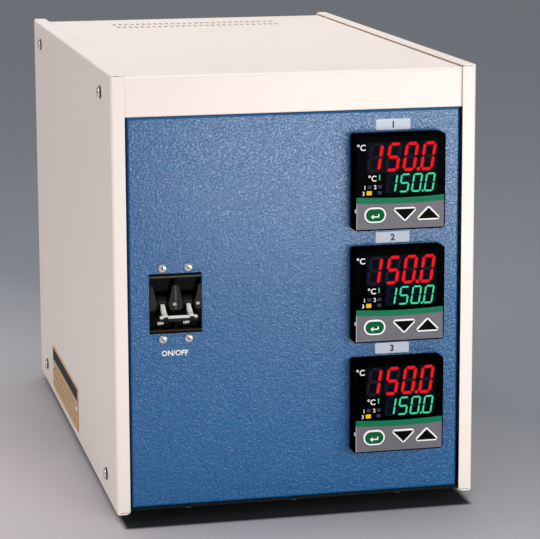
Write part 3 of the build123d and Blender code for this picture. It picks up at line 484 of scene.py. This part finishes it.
def grimed_zinc(name, letter, seat, rim):
    """Polished zinc with painted shade: dark in the recess and round the rim, up to a height over the
    screw's seat.
    """
    finish = Finish(name, tone(236, 232, 226), 0.2, metallic=0.85)
    cloud = finish.noise(900, 3.0)
    painted_rim_shade = abs(finish.axis(letter)) < seat + rim
    bare_zinc_tone = cloud.blend(tone(226, 222, 216), tone(252, 249, 244))
    finish.paint(painted_rim_shade.blend(bare_zinc_tone, tone(44, 38, 36)), 0.14 + 0.12 * cloud)
    return finish


# The side and breaker screws are painted dark up to a little over their seats, as painted shade round the
# rim and in the recess.
side_rim, front_rim = 1.1 * MM, 0.75 * MM
side_zinc = grimed_zinc("side_screw_zinc", "X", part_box("right_side_panel")[1].x, side_rim)
front_zinc = grimed_zinc("front_screw_zinc", "Y", -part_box("front_panel")[0].y, front_rim)
side_head = (2.4, 4.7, 2.9)
breaker_head = (1.75, 3.3, 2.1)
outlet_head = (1.5, 2.7, 1.7)
screws_like("side_panel_screws", side_head, sideways, side_zinc)
screws_like("breaker_screws", breaker_head, fore_and_aft, front_zinc)
screws_like("socket_screws", outlet_head, fore_and_aft)
for node in ("panel_screws", "foot_screws", "data_plate_rivets", "sink_brackets", "breaker_pivot_pin"):
    dress(node, zinc)

# ---------------------------------------------------------------- data plate
# A thin anodised plate on the left side, riveted at its two ends: brushed gold, with a black band
# under the upper edge, and ruled fields that are left blank.
plate_low, plate_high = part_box("data_plate")
plate_gold = Finish("anodised_gold", tone(206, 168, 120), 0.45, specular_ior_level=0.1)
along = plate_gold.axis("Y")
up = plate_gold.axis("Z")
brushed = plate_gold.noise(260, 3.0, 0.6, 0.0, (1.0, 0.12, 9.0))
gold = brushed.blend(tone(190, 150, 104), tone(226, 192, 146))


def between(value, low, high):
    """1 where a value lies between two limits."""
    return (value > low) * (value < high)


band_top = plate_high.z - 1.6 * MM
band_bottom = plate_high.z - 11.4 * MM
band_inset, field_inset = 2 * MM, 9 * MM
rule_wide = 0.35 * MM
rules_low, rule_step = plate_low.z + 6 * MM, 6.2 * MM
posts_top, post_step = plate_low.z + 18.7 * MM, 45.9 * MM
inked = between(up, band_bottom, band_top)
inked = inked * between(along, plate_low.y + band_inset, plate_high.y - band_inset)
for n in range(3):
    rule = rules_low + n * rule_step
    line = between(up, rule, rule + rule_wide)
    inked = inked + line * between(along, plate_low.y + field_inset, plate_high.y - field_inset)
for n in range(4):
    post = plate_low.y + field_inset + n * post_step
    line = between(along, post, post + rule_wide)
    inked = inked + line * between(up, rules_low, posts_top)
inked = inked.held()
plate_gold.paint(inked.blend(gold, tone(22, 28, 32)), 0.4 + 0.2 * brushed, Metallic=0.2 - 0.2 * inked)
dress("data_plate", plate_gold)

# ---------------------------------------------------------------- breaker poles
# Two black thermoset mouldings side by side. The boss that shows through the panel is satin grey-
# black on its front, and the finger wells behind it are polished and almost black.
pole_low, pole_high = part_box("breaker_left_pole")
panel_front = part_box("front_panel")[0].y
thermoset = Finish("black_thermoset", tone(4, 4, 4), 0.3, specular_ior_level=0.05)
mottle = thermoset.noise(500, 3.0)
poles_middle_z = (pole_low.z + pole_high.z) / 2
seam_half = 0.45 * MM
plateau_foot, plateau_top = -4.6 * MM, 13.4 * MM
upper_rim_foot, upper_rim_top = 19.2 * MM, 20.4 * MM
lower_rim_foot, lower_rim_top = -20.3 * MM, -19.4 * MM
level = thermoset.axis("Z") - poles_middle_z
seam = abs(thermoset.axis("X") - pole_high.x) < seam_half
boss_face = thermoset.axis("Y") < panel_front
plateau = between(level, plateau_foot, plateau_top) * boss_face
upper_rim = between(level, upper_rim_foot, upper_rim_top) * boss_face
lower_rim = between(level, lower_rim_foot, lower_rim_top) * boss_face
satin = mottle.blend(tone(34, 34, 31), tone(52, 51, 47))
moulded = mottle.blend(tone(1, 1, 1), tone(6, 6, 5))
shown = plateau.blend(moulded, satin)
shown = (plateau * seam).blend(shown, tone(92, 91, 86))
shown = upper_rim.blend(shown, mottle.blend(tone(52, 50, 44), tone(96, 92, 84)))
shown = lower_rim.blend(shown, mottle.blend(tone(46, 32, 20), tone(74, 52, 32)))
thermoset.paint(shown, 0.25 + 0.25 * boss_face)
thermoset.relief(mottle, 0.02, 0.5)
for node in ("breaker_left_pole", "breaker_right_pole"):
    dress(node, thermoset)

# ---------------------------------------------------------------- breaker handles
# Two moulded levers on one pivot pin, black at the hub and the tip and white along the arm, the white a
# painted highlight for the arms' lit edges, tied by a black square bar with a painted highlight along its
# upper edge, so both poles switch together.
pivot_low, pivot_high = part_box("breaker_pivot_pin")
pivot = (pivot_low + pivot_high) / 2
lever_angle = radians(24.5)
hub_edge = 6.6 * MM
hub_edge_soft = 0.6 * MM
bar_far_side = 22.4 * MM
bar_highlight_above = 1.3 * MM


def lever_finish(name):
    """A finish for the handles, with where each point lies from the pivot."""
    finish = Finish(name, tone(12, 12, 12), 0.35, specular_ior_level=0.12)
    forward = finish.axis("Y") - pivot.y
    above = finish.axis("Z") - pivot.z
    return finish, forward, above


lever_paint, forward, above = lever_finish("lever_paint")
from_pivot = (forward * forward + above * above) ** 0.5
# Painted highlight: the arm between hub and bar is painted white where its lit edges catch the light.
arm = ((from_pivot - hub_edge) / hub_edge_soft).held() * (from_pivot < bar_far_side)
lever_mottle = lever_paint.noise(300, 4.0, 0.7)
painted_arm_highlight = lever_mottle.blend(tone(205, 200, 196), tone(250, 248, 244))
lever_paint.paint(arm.blend(lever_mottle.blend(tone(8, 8, 8), tone(26, 26, 25)), painted_arm_highlight), 0.3 + 0.2 * lever_mottle)
for node in ("breaker_left_handle", "breaker_right_handle"):
    dress(node, lever_paint)
bar_black, forward, above = lever_finish("bar_black")
# Painted highlight: the bar's upper edge is painted near white, a bright line where light falls along it.
across_bar = above * cos(lever_angle) - forward * sin(lever_angle)
painted_edge_highlight = across_bar > bar_highlight_above
bar_mottle = bar_black.noise(700, 2.0)
bar_black.paint(painted_edge_highlight.blend(bar_mottle.blend(tone(20, 26, 28), tone(46, 54, 56)), tone(236, 232, 226)), 0.3)
dress("handle_tie_bar", bar_black)

# ---------------------------------------------------------------- printed marks on the front
# White screen print, a few hundredths of a millimetre proud: the words under the breaker for its
# two positions, a plain number on each pole's boss, and OFF at the foot of each pole's well.
print_white = Finish("print_white", tone(238, 234, 230), 0.55)
print_white.paint(print_white.noise(1500, 2.0).blend(tone(222, 218, 214), tone(244, 241, 238)))
print_thick = 0.06 * MM


def lettering(name, words, height, place, finish, weight):
    """Words printed on a surface that faces the front, with their middle at a place on it."""
    x, front, z = place
    capital_share = 0.73
    curve = bpy.data.curves.new(name, "FONT")
    curve.body = words
    curve.size = height / capital_share
    curve.extrude = print_thick / 2
    curve.offset = weight * height
    curve.resolution_u = 3
    curve.align_x = "CENTER"
    holder = bpy.data.objects.new(name + "_words", curve)
    bpy.context.collection.objects.link(holder)
    bpy.context.view_layer.update()
    mesh = bpy.data.meshes.new_from_object(holder.evaluated_get(bpy.context.evaluated_depsgraph_get()))
    bpy.data.objects.remove(holder)
    mesh.name = name
    mesh.materials.clear()
    mesh.transform(Matrix.Translation((0, -height / 2, 0)))
    mesh.transform(Matrix.Translation((x, front - print_thick / 2, z)) @ Matrix.Rotation(pi / 2, 4, "X"))
    show(name, mesh, finish)


poles_middle_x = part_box("breaker_left_pole")[1].x
legend_height, legend_shift, legend_drop = 3.9 * MM, -1.0 * MM, 36.6 * MM
legend_place = (poles_middle_x + legend_shift, panel_front, poles_middle_z - legend_drop)
lettering("breaker_legend", "ON/OFF", legend_height, legend_place, print_white, 0.035)
mark_height = 1.9 * MM
number_drop, off_drop, well_depth = 0.4 * MM, 15.6 * MM, 6.8 * MM
boss_front = pole_low.y
well_floor = boss_front + well_depth
for n, across in enumerate((-0.9 * MM, 16.1 * MM)):
    spot = (poles_middle_x + across, boss_front, poles_middle_z - number_drop)
    lettering(f"pole_number_{n + 1}", "30", mark_height, spot, print_white, 0.03)
for n, across in enumerate((-10.2 * MM, 8.8 * MM)):
    spot = (poles_middle_x + across, well_floor, poles_middle_z - off_drop)
    lettering(f"pole_off_mark_{n + 1}", "OFF", mark_height, spot, print_white, 0.09)

# ---------------------------------------------------------------- controller bezels
# Square frames moulded in black plastic, with a fine matt texture and crisp edges. Each seats on the
# front panel round its cut-out and is pulled tight by the collar behind.
bezel_black = Finish("bezel_black", tone(2, 2, 2), 0.5, specular_ior_level=0.0)
bezel_grain = bezel_black.noise(1400, 2.0)
bezel_black.paint(bezel_black.noise(60, 3.0).blend(tone(1, 1, 1), tone(6, 6, 7)), 0.42 + 0.15 * bezel_grain)
bezel_black.relief(bezel_grain, 0.02, 0.5)
for zone in (1, 2, 3):
    dress(f"zone_{zone}_bezel", bezel_black)


# ---------------------------------------------------------------- display windows
# Smoked acrylic over the two displays. The display fields show through it a little bluer than the
# black mask round them.
def controller_face(zone):
    """The window's two corners, its width, and the face's height down to the fascia's foot."""
    low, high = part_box(f"zone_{zone}_window")
    return low, high, high.x - low.x, high.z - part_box(f"zone_{zone}_fascia")[0].z


def face_point(zone, across, down):
    """A point on the face, by shares of its width from the left and its height from the top."""
    low, high, wide, tall = controller_face(zone)
    return low.x + across * wide, low.y, high.z - down * tall


def window_glass(zone):
    """The smoked window's finish, with its two display fields placed by the window's own box."""
    low, high, wide, tall = controller_face(zone)
    left_edge, lower_left_edge, right_edge = 0.115, 0.33, 0.925
    top_edge, parting, foot_edge = 0.06, 0.40, 0.615
    glass = Finish(f"zone_{zone}_smoked_acrylic", tone(1, 2, 2), 0.25, specular_ior_level=0.005)
    across = (glass.axis("X") - low.x) / wide
    down = (high.z - glass.axis("Z")) / tall
    upper = between(across, left_edge, right_edge) * between(down, top_edge, parting)
    lower = between(across, lower_left_edge, right_edge) * between(down, parting, foot_edge)
    field = (upper + lower).held() * (0.75 + 0.5 * glass.noise(500, 2.0))
    glass.paint(field.blend(tone(0, 1, 1), tone(6, 12, 20)))
    return glass


for zone in (1, 2, 3):
    dress(f"zone_{zone}_window", window_glass(zone))


# ---------------------------------------------------------------- digits, lamps and window marks
# Leaning seven-segment digits, red above and green below, with the unlit segments faintly seen, and
# four small lamps, of which the output lamp is lit. Small white marks stand beside them.
def lit(name, colour):
    glow = Finish(name, tone(4, 4, 4), 0.4, specular_ior_level=0.0, emission_strength=1.0)
    shade = glow.noise(900, 2.0).blend(tuple(c * 0.85 for c in colour[:3]) + (1,), colour)
    glow.paint(None, None, **{"Emission Color": shade})
    return glow


def unlit(name, dark, darker):
    off = Finish(name, dark, 0.5, specular_ior_level=0.0)
    off.paint(off.noise(800, 2.0).blend(darker, dark))
    return off


def plates(name, outlines, front, back):
    """Flat plates across Y, one from each outline of (x, z) points."""
    shape = bmesh.new()
    for outline in outlines:
        near = [shape.verts.new((x, front, z)) for x, z in outline]
        far = [shape.verts.new((x, back, z)) for x, z in outline]
        shape.faces.new(near)
        shape.faces.new(far[::-1])
        for n in range(len(outline)):
            m = (n + 1) % len(outline)
            shape.faces.new((near[n], near[m], far[m], far[n]))
    return take_mesh(name, shape)


def stuck_on(name, outlines, front, thick, finish):
    """Thin flat shapes on a surface that faces the front."""
    show(name, plates(name, outlines, front - thick, front), finish)


def box_outline(x, z, half_x, half_z):
    left, right, foot, top = x - half_x, x + half_x, z - half_z, z + half_z
    return [(left, foot), (right, foot), (right, top), (left, top)]


def disc_outline(x, z, radius, steps=12):
    turns = [2 * pi * n / steps for n in range(steps)]
    return [(x + radius * cos(a), z + radius * sin(a)) for a in turns]


def segment_outlines(wide, tall, thick):
    """Seven bar outlines of a digit about its own middle, before it leans."""
    gap = thick * 0.16
    tip = thick / 2
    right, top = wide / 2 - tip, tall / 2 - tip

    def bar(x0, z0, x1, z1):
        flat = z0 == z1
        a0, a1 = (x0 + gap, x1 - gap) if flat else (z0 + gap, z1 - gap)
        line = [(a0, 0), (a0 + tip, tip), (a1 - tip, tip), (a1, 0), (a1 - tip, -tip), (a0 + tip, -tip)]
        return [(a, z0 + b) for a, b in line] if flat else [(x0 + b, a) for a, b in line]

    return {
        "a": bar(-right, top, right, top),
        "b": bar(right, 0, right, top),
        "c": bar(right, -top, right, 0),
        "d": bar(-right, -top, right, -top),
        "e": bar(-right, -top, -right, 0),
        "f": bar(-right, 0, -right, top),
        "g": bar(-right, 0, right, 0),
    }


red_lit = lit("segment_red", tone(255, 24, 34))
green_lit = lit("segment_green", tone(64, 240, 172))
amber_lit = lit("lamp_amber", tone(255, 196, 16))
red_off = unlit("segment_red_off", tone(40, 28, 40), tone(26, 24, 34))
green_off = unlit("segment_green_off", tone(20, 28, 44), tone(14, 22, 34))
lamp_off = unlit("lamp_off", tone(58, 62, 82), tone(40, 46, 66))
digit_proud = 0.05 * MM
slant = 0.155
point_right, point_rise, point_radius = 0.08, 0.55, 0.62
lit_segments = {"1": "bc", "5": "acdfg", "0": "abcdef"}


def reading(zone, colour, centres, row, digit_size, glow, dark):
    """The digits 150.0 on a window, as one piece of lit and one of unlit segments."""
    wide, tall, thick = digit_size
    bright, dull = [], []
    for digit, centre in zip("1500", centres):
        x0, front, level = face_point(zone, centre, row)
        for letter, outline in segment_outlines(wide, tall, thick).items():
            leaning = [(x0 + x + slant * z, level + z) for x, z in outline]
            (bright if letter in lit_segments[digit] else dull).append(leaning)
    between_digits, front, level = face_point(zone, (centres[2] + centres[3]) / 2, row)
    point_x = between_digits - slant * tall / 2 + point_right * wide
    bright.append(disc_outline(point_x, level - tall / 2 + point_rise * thick, point_radius * thick))
    stuck_on(f"zone_{zone}_{colour}_lit", bright, front, digit_proud, glow)
    stuck_on(f"zone_{zone}_{colour}_unlit", dull, front, digit_proud / 2, dark)


red_centres, red_row = (0.213, 0.421, 0.6145, 0.817), 0.225
red_digit = (9.9 * MM, 21.1 * MM, 2.2 * MM)
green_centres, green_row = (0.4056, 0.549, 0.6894, 0.8355), 0.51
green_digit = (7.2 * MM, 13.7 * MM, 1.2 * MM)
dim_lamps = ((0.151, 0.542), (0.266, 0.541), (0.265, 0.606))
dim_half_x, dim_half_z = 1.5 * MM, 1.15 * MM
output_lamp = (0.145, 0.606)
output_half_x, output_half_z = 1.9 * MM, 1.5 * MM
window_marks = (
    ("degrees_mark", "°C", 4.5 * MM, 0.053, 0.112, print_white, 0.02),
    ("set_degrees_mark", "°C", 4.3 * MM, 0.18, 0.448, print_white, 0.02),
    ("lamp_1_mark", "1", 2.9 * MM, 0.095, 0.545, print_white, 0.02),
    ("lamp_2_mark", "2", 2.9 * MM, 0.213, 0.542, print_white, 0.02),
    ("lamp_3_mark", "3", 2.9 * MM, 0.08, 0.608, print_white, 0.02),
    ("set_number", "1", 3.9 * MM, 0.262, 0.438, green_lit, 0.03),
)
for zone in (1, 2, 3):
    reading(zone, "red", red_centres, red_row, red_digit, red_lit, red_off)
    reading(zone, "green", green_centres, green_row, green_digit, green_lit, green_off)
    dim = []
    for across, down in dim_lamps:
        x, front, z = face_point(zone, across, down)
        dim.append(box_outline(x, z, dim_half_x, dim_half_z))
    stuck_on(f"zone_{zone}_lamps_off", dim, front, digit_proud, lamp_off)
    x, front, z = face_point(zone, *output_lamp)
    hot = [box_outline(x, z, output_half_x, output_half_z)]
    stuck_on(f"zone_{zone}_lamp_on", hot, front, digit_proud, amber_lit)
    for label, words, height, across, down, finish, weight in window_marks:
        spot = face_point(zone, across, down)
        lettering(f"zone_{zone}_{label}", words, height, spot, finish, weight)

# ---------------------------------------------------------------- green bands, fascias and latch tabs
# Under each window lie a printed green band and a satin grey key fascia, painted light at its left edge as
# a painted highlight.
# A small latch tab of the same grey shows at the left edge of the bezel.
band_green = Finish("band_green", tone(8, 112, 80), 0.45, specular_ior_level=0.08)
threads = band_green.noise(300, 2.0, 0.5, 0.0, (0.1, 1.0, 8.0))
band_green.paint(threads.blend(tone(0, 98, 66), tone(14, 122, 84)))
fascia_grey = Finish("fascia_grey", tone(104, 101, 108), 0.42, specular_ior_level=0.15)
fascia_cloud = fascia_grey.noise(70, 3.0)
highlight_wide = 0.4 * MM
# Painted highlight: a pale line painted down the fascia's left edge, where light catches its bevel.
fascia_edge_highlight = fascia_grey.axis("X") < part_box("zone_1_fascia")[0].x + highlight_wide
satin_grey = fascia_cloud.blend(tone(97, 94, 101), tone(112, 109, 116))
fascia_grey.paint(fascia_edge_highlight.blend(satin_grey, tone(178, 174, 180)), 0.36 + 0.15 * fascia_cloud)
fascia_grey.relief(fascia_grey.noise(1500, 2.0), 0.012, 0.5)
tab_row = 0.797
tab_inset, tab_half_x, tab_half_z = 0.8 * MM, 0.5 * MM, 1.3 * MM
tab_proud, tab_sunk = 0.15 * MM, 0.9 * MM
for zone in (1, 2, 3):
    dress(f"zone_{zone}_stripe", band_green)
    dress(f"zone_{zone}_fascia", fascia_grey)
    bezel_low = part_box(f"zone_{zone}_bezel")[0]
    tab_z = face_point(zone, 0, tab_row)[2]
    tab = box_outline(bezel_low.x + tab_inset, tab_z, tab_half_x, tab_half_z)
    tab_mesh = plates(f"zone_{zone}_latch_tab", [tab], bezel_low.y - tab_proud, bezel_low.y + tab_sunk)
    show(f"zone_{zone}_latch_tab", tab_mesh, fascia_grey)

# ---------------------------------------------------------------- keys
# Three moulded rubber keys on each fascia: a green oval with a white printed ring and a return arrow,
# and two black arrowheads edged in white. Each one slides in a little when it is pressed.
key_green = tone(6, 92, 52)
key_black = tone(3, 3, 3)
ring_width = 1.25 * MM
round_tip = 1.9 * MM


def key_rubber(name, node, inner):
    """A key's rubber with a white printed edge round its inner colour."""
    low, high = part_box(node)
    middle = (low + high) / 2
    key = Finish(name, inner, 0.5, specular_ior_level=0.04)
    across = key.axis("X") - middle.x
    above = key.axis("Z") - middle.z
    half_x, half_z = (high.x - low.x) / 2, (high.z - low.z) / 2
    if "set" in node:
        straight_half = half_x - half_z
        past_end = (abs(across) - straight_half).held()
        reach = (past_end * past_end + above * above) ** 0.5
        edge = reach > half_z - ring_width
    else:
        way = 1 if "up" in node else -1
        base, rise = half_x - round_tip, 2 * (half_z - round_tip)
        slope = (base**2 + rise**2) ** 0.5
        flank = (abs(across) * rise + above * way * base) / slope
        flank_limit = (half_z - round_tip) * base / slope + round_tip - ring_width
        edge = ((flank > flank_limit) + (above * -way > half_z - ring_width)).held()
    soft = key.noise(900, 2.0)
    inside = soft.blend(tuple(c * 0.8 for c in inner[:3]) + (1,), inner)
    key.paint(edge.blend(inside, tone(236, 234, 230)), 0.45 + 0.2 * soft)
    return key


def return_arrow(name, node, body):
    """A bent arrow in white print on a key's front."""
    low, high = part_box(node)
    arrow_drop, arrow_unit = 1.2 * MM, 0.75 * MM
    arrow_proud, arrow_sunk = 0.01 * MM, 0.05 * MM
    x, z = (low.x + high.x) / 2, (low.z + high.z) / 2 - arrow_drop
    points = [(-4.4, 0), (-1.6, 2.4), (-1.6, 0.6), (2.9, 0.6), (2.9, 2.6), (4.1, 2.6), (4.1, -0.6)]
    points += [(-1.6, -0.6), (-1.6, -2.4)]
    outline = [(x + a * arrow_unit, z + b * arrow_unit) for a, b in points]
    mesh = plates(name, [outline], low.y - arrow_proud, low.y + arrow_sunk)
    show(name, mesh, print_white, body)


for zone in (1, 2, 3):
    for kind, colour in (("set", key_green), ("down", key_black), ("up", key_black)):
        node = f"zone_{zone}_{kind}_key"
        dress(node, key_rubber(f"zone_{zone}_{kind}_rubber", node, colour))
    return_arrow(f"zone_{zone}_return_arrow", f"zone_{zone}_set_key", f"zone_{zone}_set_button")

# ---------------------------------------------------------------- zone label tapes
# Strips of pale adhesive tape with rounded corners, stuck to the front panel over each controller,
# with a plain black number printed on each.
tape = Finish("label_tape", tone(196, 206, 222), 0.35, specular_ior_level=0.2)
tape_cloud = tape.noise(700, 3.0, 0.6)
tape.paint(tape_cloud.blend(tone(176, 190, 212), tone(220, 225, 234)), 0.3 + 0.2 * tape_cloud)
ink = Finish("label_ink", tone(24, 24, 28), 0.5)
ink.paint(ink.noise(900).blend(tone(16, 16, 20), tone(38, 38, 44)))
tape_wide, tape_tall, tape_thick, tape_corner = 25.8 * MM, 8.0 * MM, 0.15 * MM, 0.8 * MM
tape_shift, tape_rise = -2.1 * MM, 5.6 * MM
zone_number_height = 4.8 * MM
for zone in (1, 2, 3):
    low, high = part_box(f"zone_{zone}_bezel")
    x, z = (low.x + high.x) / 2 + tape_shift, high.z + tape_rise
    outline = []
    for side, rise, start in ((1, -1, -90), (1, 1, 0), (-1, 1, 90), (-1, -1, 180)):
        corner_x = x + side * (tape_wide / 2 - tape_corner)
        corner_z = z + rise * (tape_tall / 2 - tape_corner)
        for turn in (0, 45, 90):
            angle = radians(start + turn)
            outline.append((corner_x + tape_corner * cos(angle), corner_z + tape_corner * sin(angle)))
    stuck_on(f"zone_{zone}_tape", [outline], panel_front, tape_thick, tape)
    spot = (x, panel_front - tape_thick, z)
    lettering(f"zone_{zone}_number", str(zone), zone_number_height, spot, ink, 0.06)

# ---------------------------------------------------------------- controller cases and collars
# Black moulded cases that slide in through the panel's cut-outs from the front, each drawn back by
# a moulded clamp collar behind the panel.
case_black = Finish("case_black", tone(26, 26, 28), 0.5)
case_black.paint(case_black.noise(50, 3.0).blend(tone(20, 20, 22), tone(36, 36, 39)))
case_black.relief(case_black.noise(1100), 0.02, 0.5)
for node in ("zone_1_case", "zone_2_case", "zone_3_case", "controller_collars"):
    dress(node, case_black)

# ---------------------------------------------------------------- heat sink and relays
# An extruded aluminium sink with upright fins, which the slots above and below feed with air, and
# three moulded solid-state relays screwed to its flat side.
fin_metal = Finish("extruded_aluminium", tone(188, 190, 194), 0.38, metallic=0.9)
drawn = fin_metal.noise(400, 3.0, 0.6, 0.0, (6.0, 6.0, 0.05))
fin_metal.paint(drawn.blend(tone(168, 170, 175), tone(206, 208, 212)), 0.3 + 0.2 * drawn)
dress("heat_sink", fin_metal)
relay_shell = Finish("relay_moulding", tone(206, 204, 194), 0.5)
relay_shell.paint(relay_shell.noise(80, 3.0).blend(tone(196, 193, 182), tone(216, 214, 205)))
relay_shell.relief(relay_shell.noise(1200), 0.02, 0.4)
for zone in (1, 2, 3):
    dress(f"zone_{zone}_relay", relay_shell)

# ---------------------------------------------------------------- terminals
# A black phenolic barrier strip on the base pan, with nickel-plated brass screws. The studs on the
# back of the breaker and the earth stud have the same plating.
phenolic = Finish("black_phenolic", tone(28, 25, 23), 0.4)
phenolic.paint(phenolic.noise(300, 4.0, 0.7).blend(tone(20, 18, 17), tone(44, 39, 35)))
dress("terminal_strip", phenolic)
nickel = Finish("nickel_plate", tone(202, 196, 182), 0.28, metallic=0.95)
nickel_cloud = nickel.noise(700, 3.0)
nickel.paint(nickel_cloud.blend(tone(184, 178, 164), tone(218, 213, 200)), 0.22 + 0.16 * nickel_cloud)
for node in ("terminal_strip_screws", "breaker_terminals", "earth_stud"):
    dress(node, nickel)

# ---------------------------------------------------------------- outlets, jacks and gland
# On the back: three black round outlets for the furnace's zones, three yellow thermocouple jacks,
# and a black nylon gland for the supply lead with its locknut inside.
outlet_black = Finish("outlet_black", tone(20, 20, 22), 0.35)
outlet_cloud = outlet_black.noise(90, 3.0)
outlet_gloss = outlet_black.noise(500)
outlet_black.paint(outlet_cloud.blend(tone(15, 15, 17), tone(30, 30, 33)), 0.3 + 0.15 * outlet_gloss)
for zone in (1, 2, 3):
    dress(f"zone_{zone}_output_socket", outlet_black)
jack_yellow = Finish("jack_yellow", tone(216, 168, 40), 0.45)
jack_yellow.paint(jack_yellow.noise(120, 3.0).blend(tone(204, 156, 32), tone(226, 180, 54)))
jack_yellow.relief(jack_yellow.noise(1200), 0.02, 0.5)
dress("thermocouple_jacks", jack_yellow)
nylon = Finish("gland_nylon", tone(24, 24, 25), 0.42)
nylon.paint(nylon.noise(150, 3.0).blend(tone(18, 18, 19), tone(34, 34, 36)))
nylon.relief(nylon.noise(900), 0.02, 0.4)
for node in ("supply_gland", "gland_locknut"):
    dress(node, nylon)
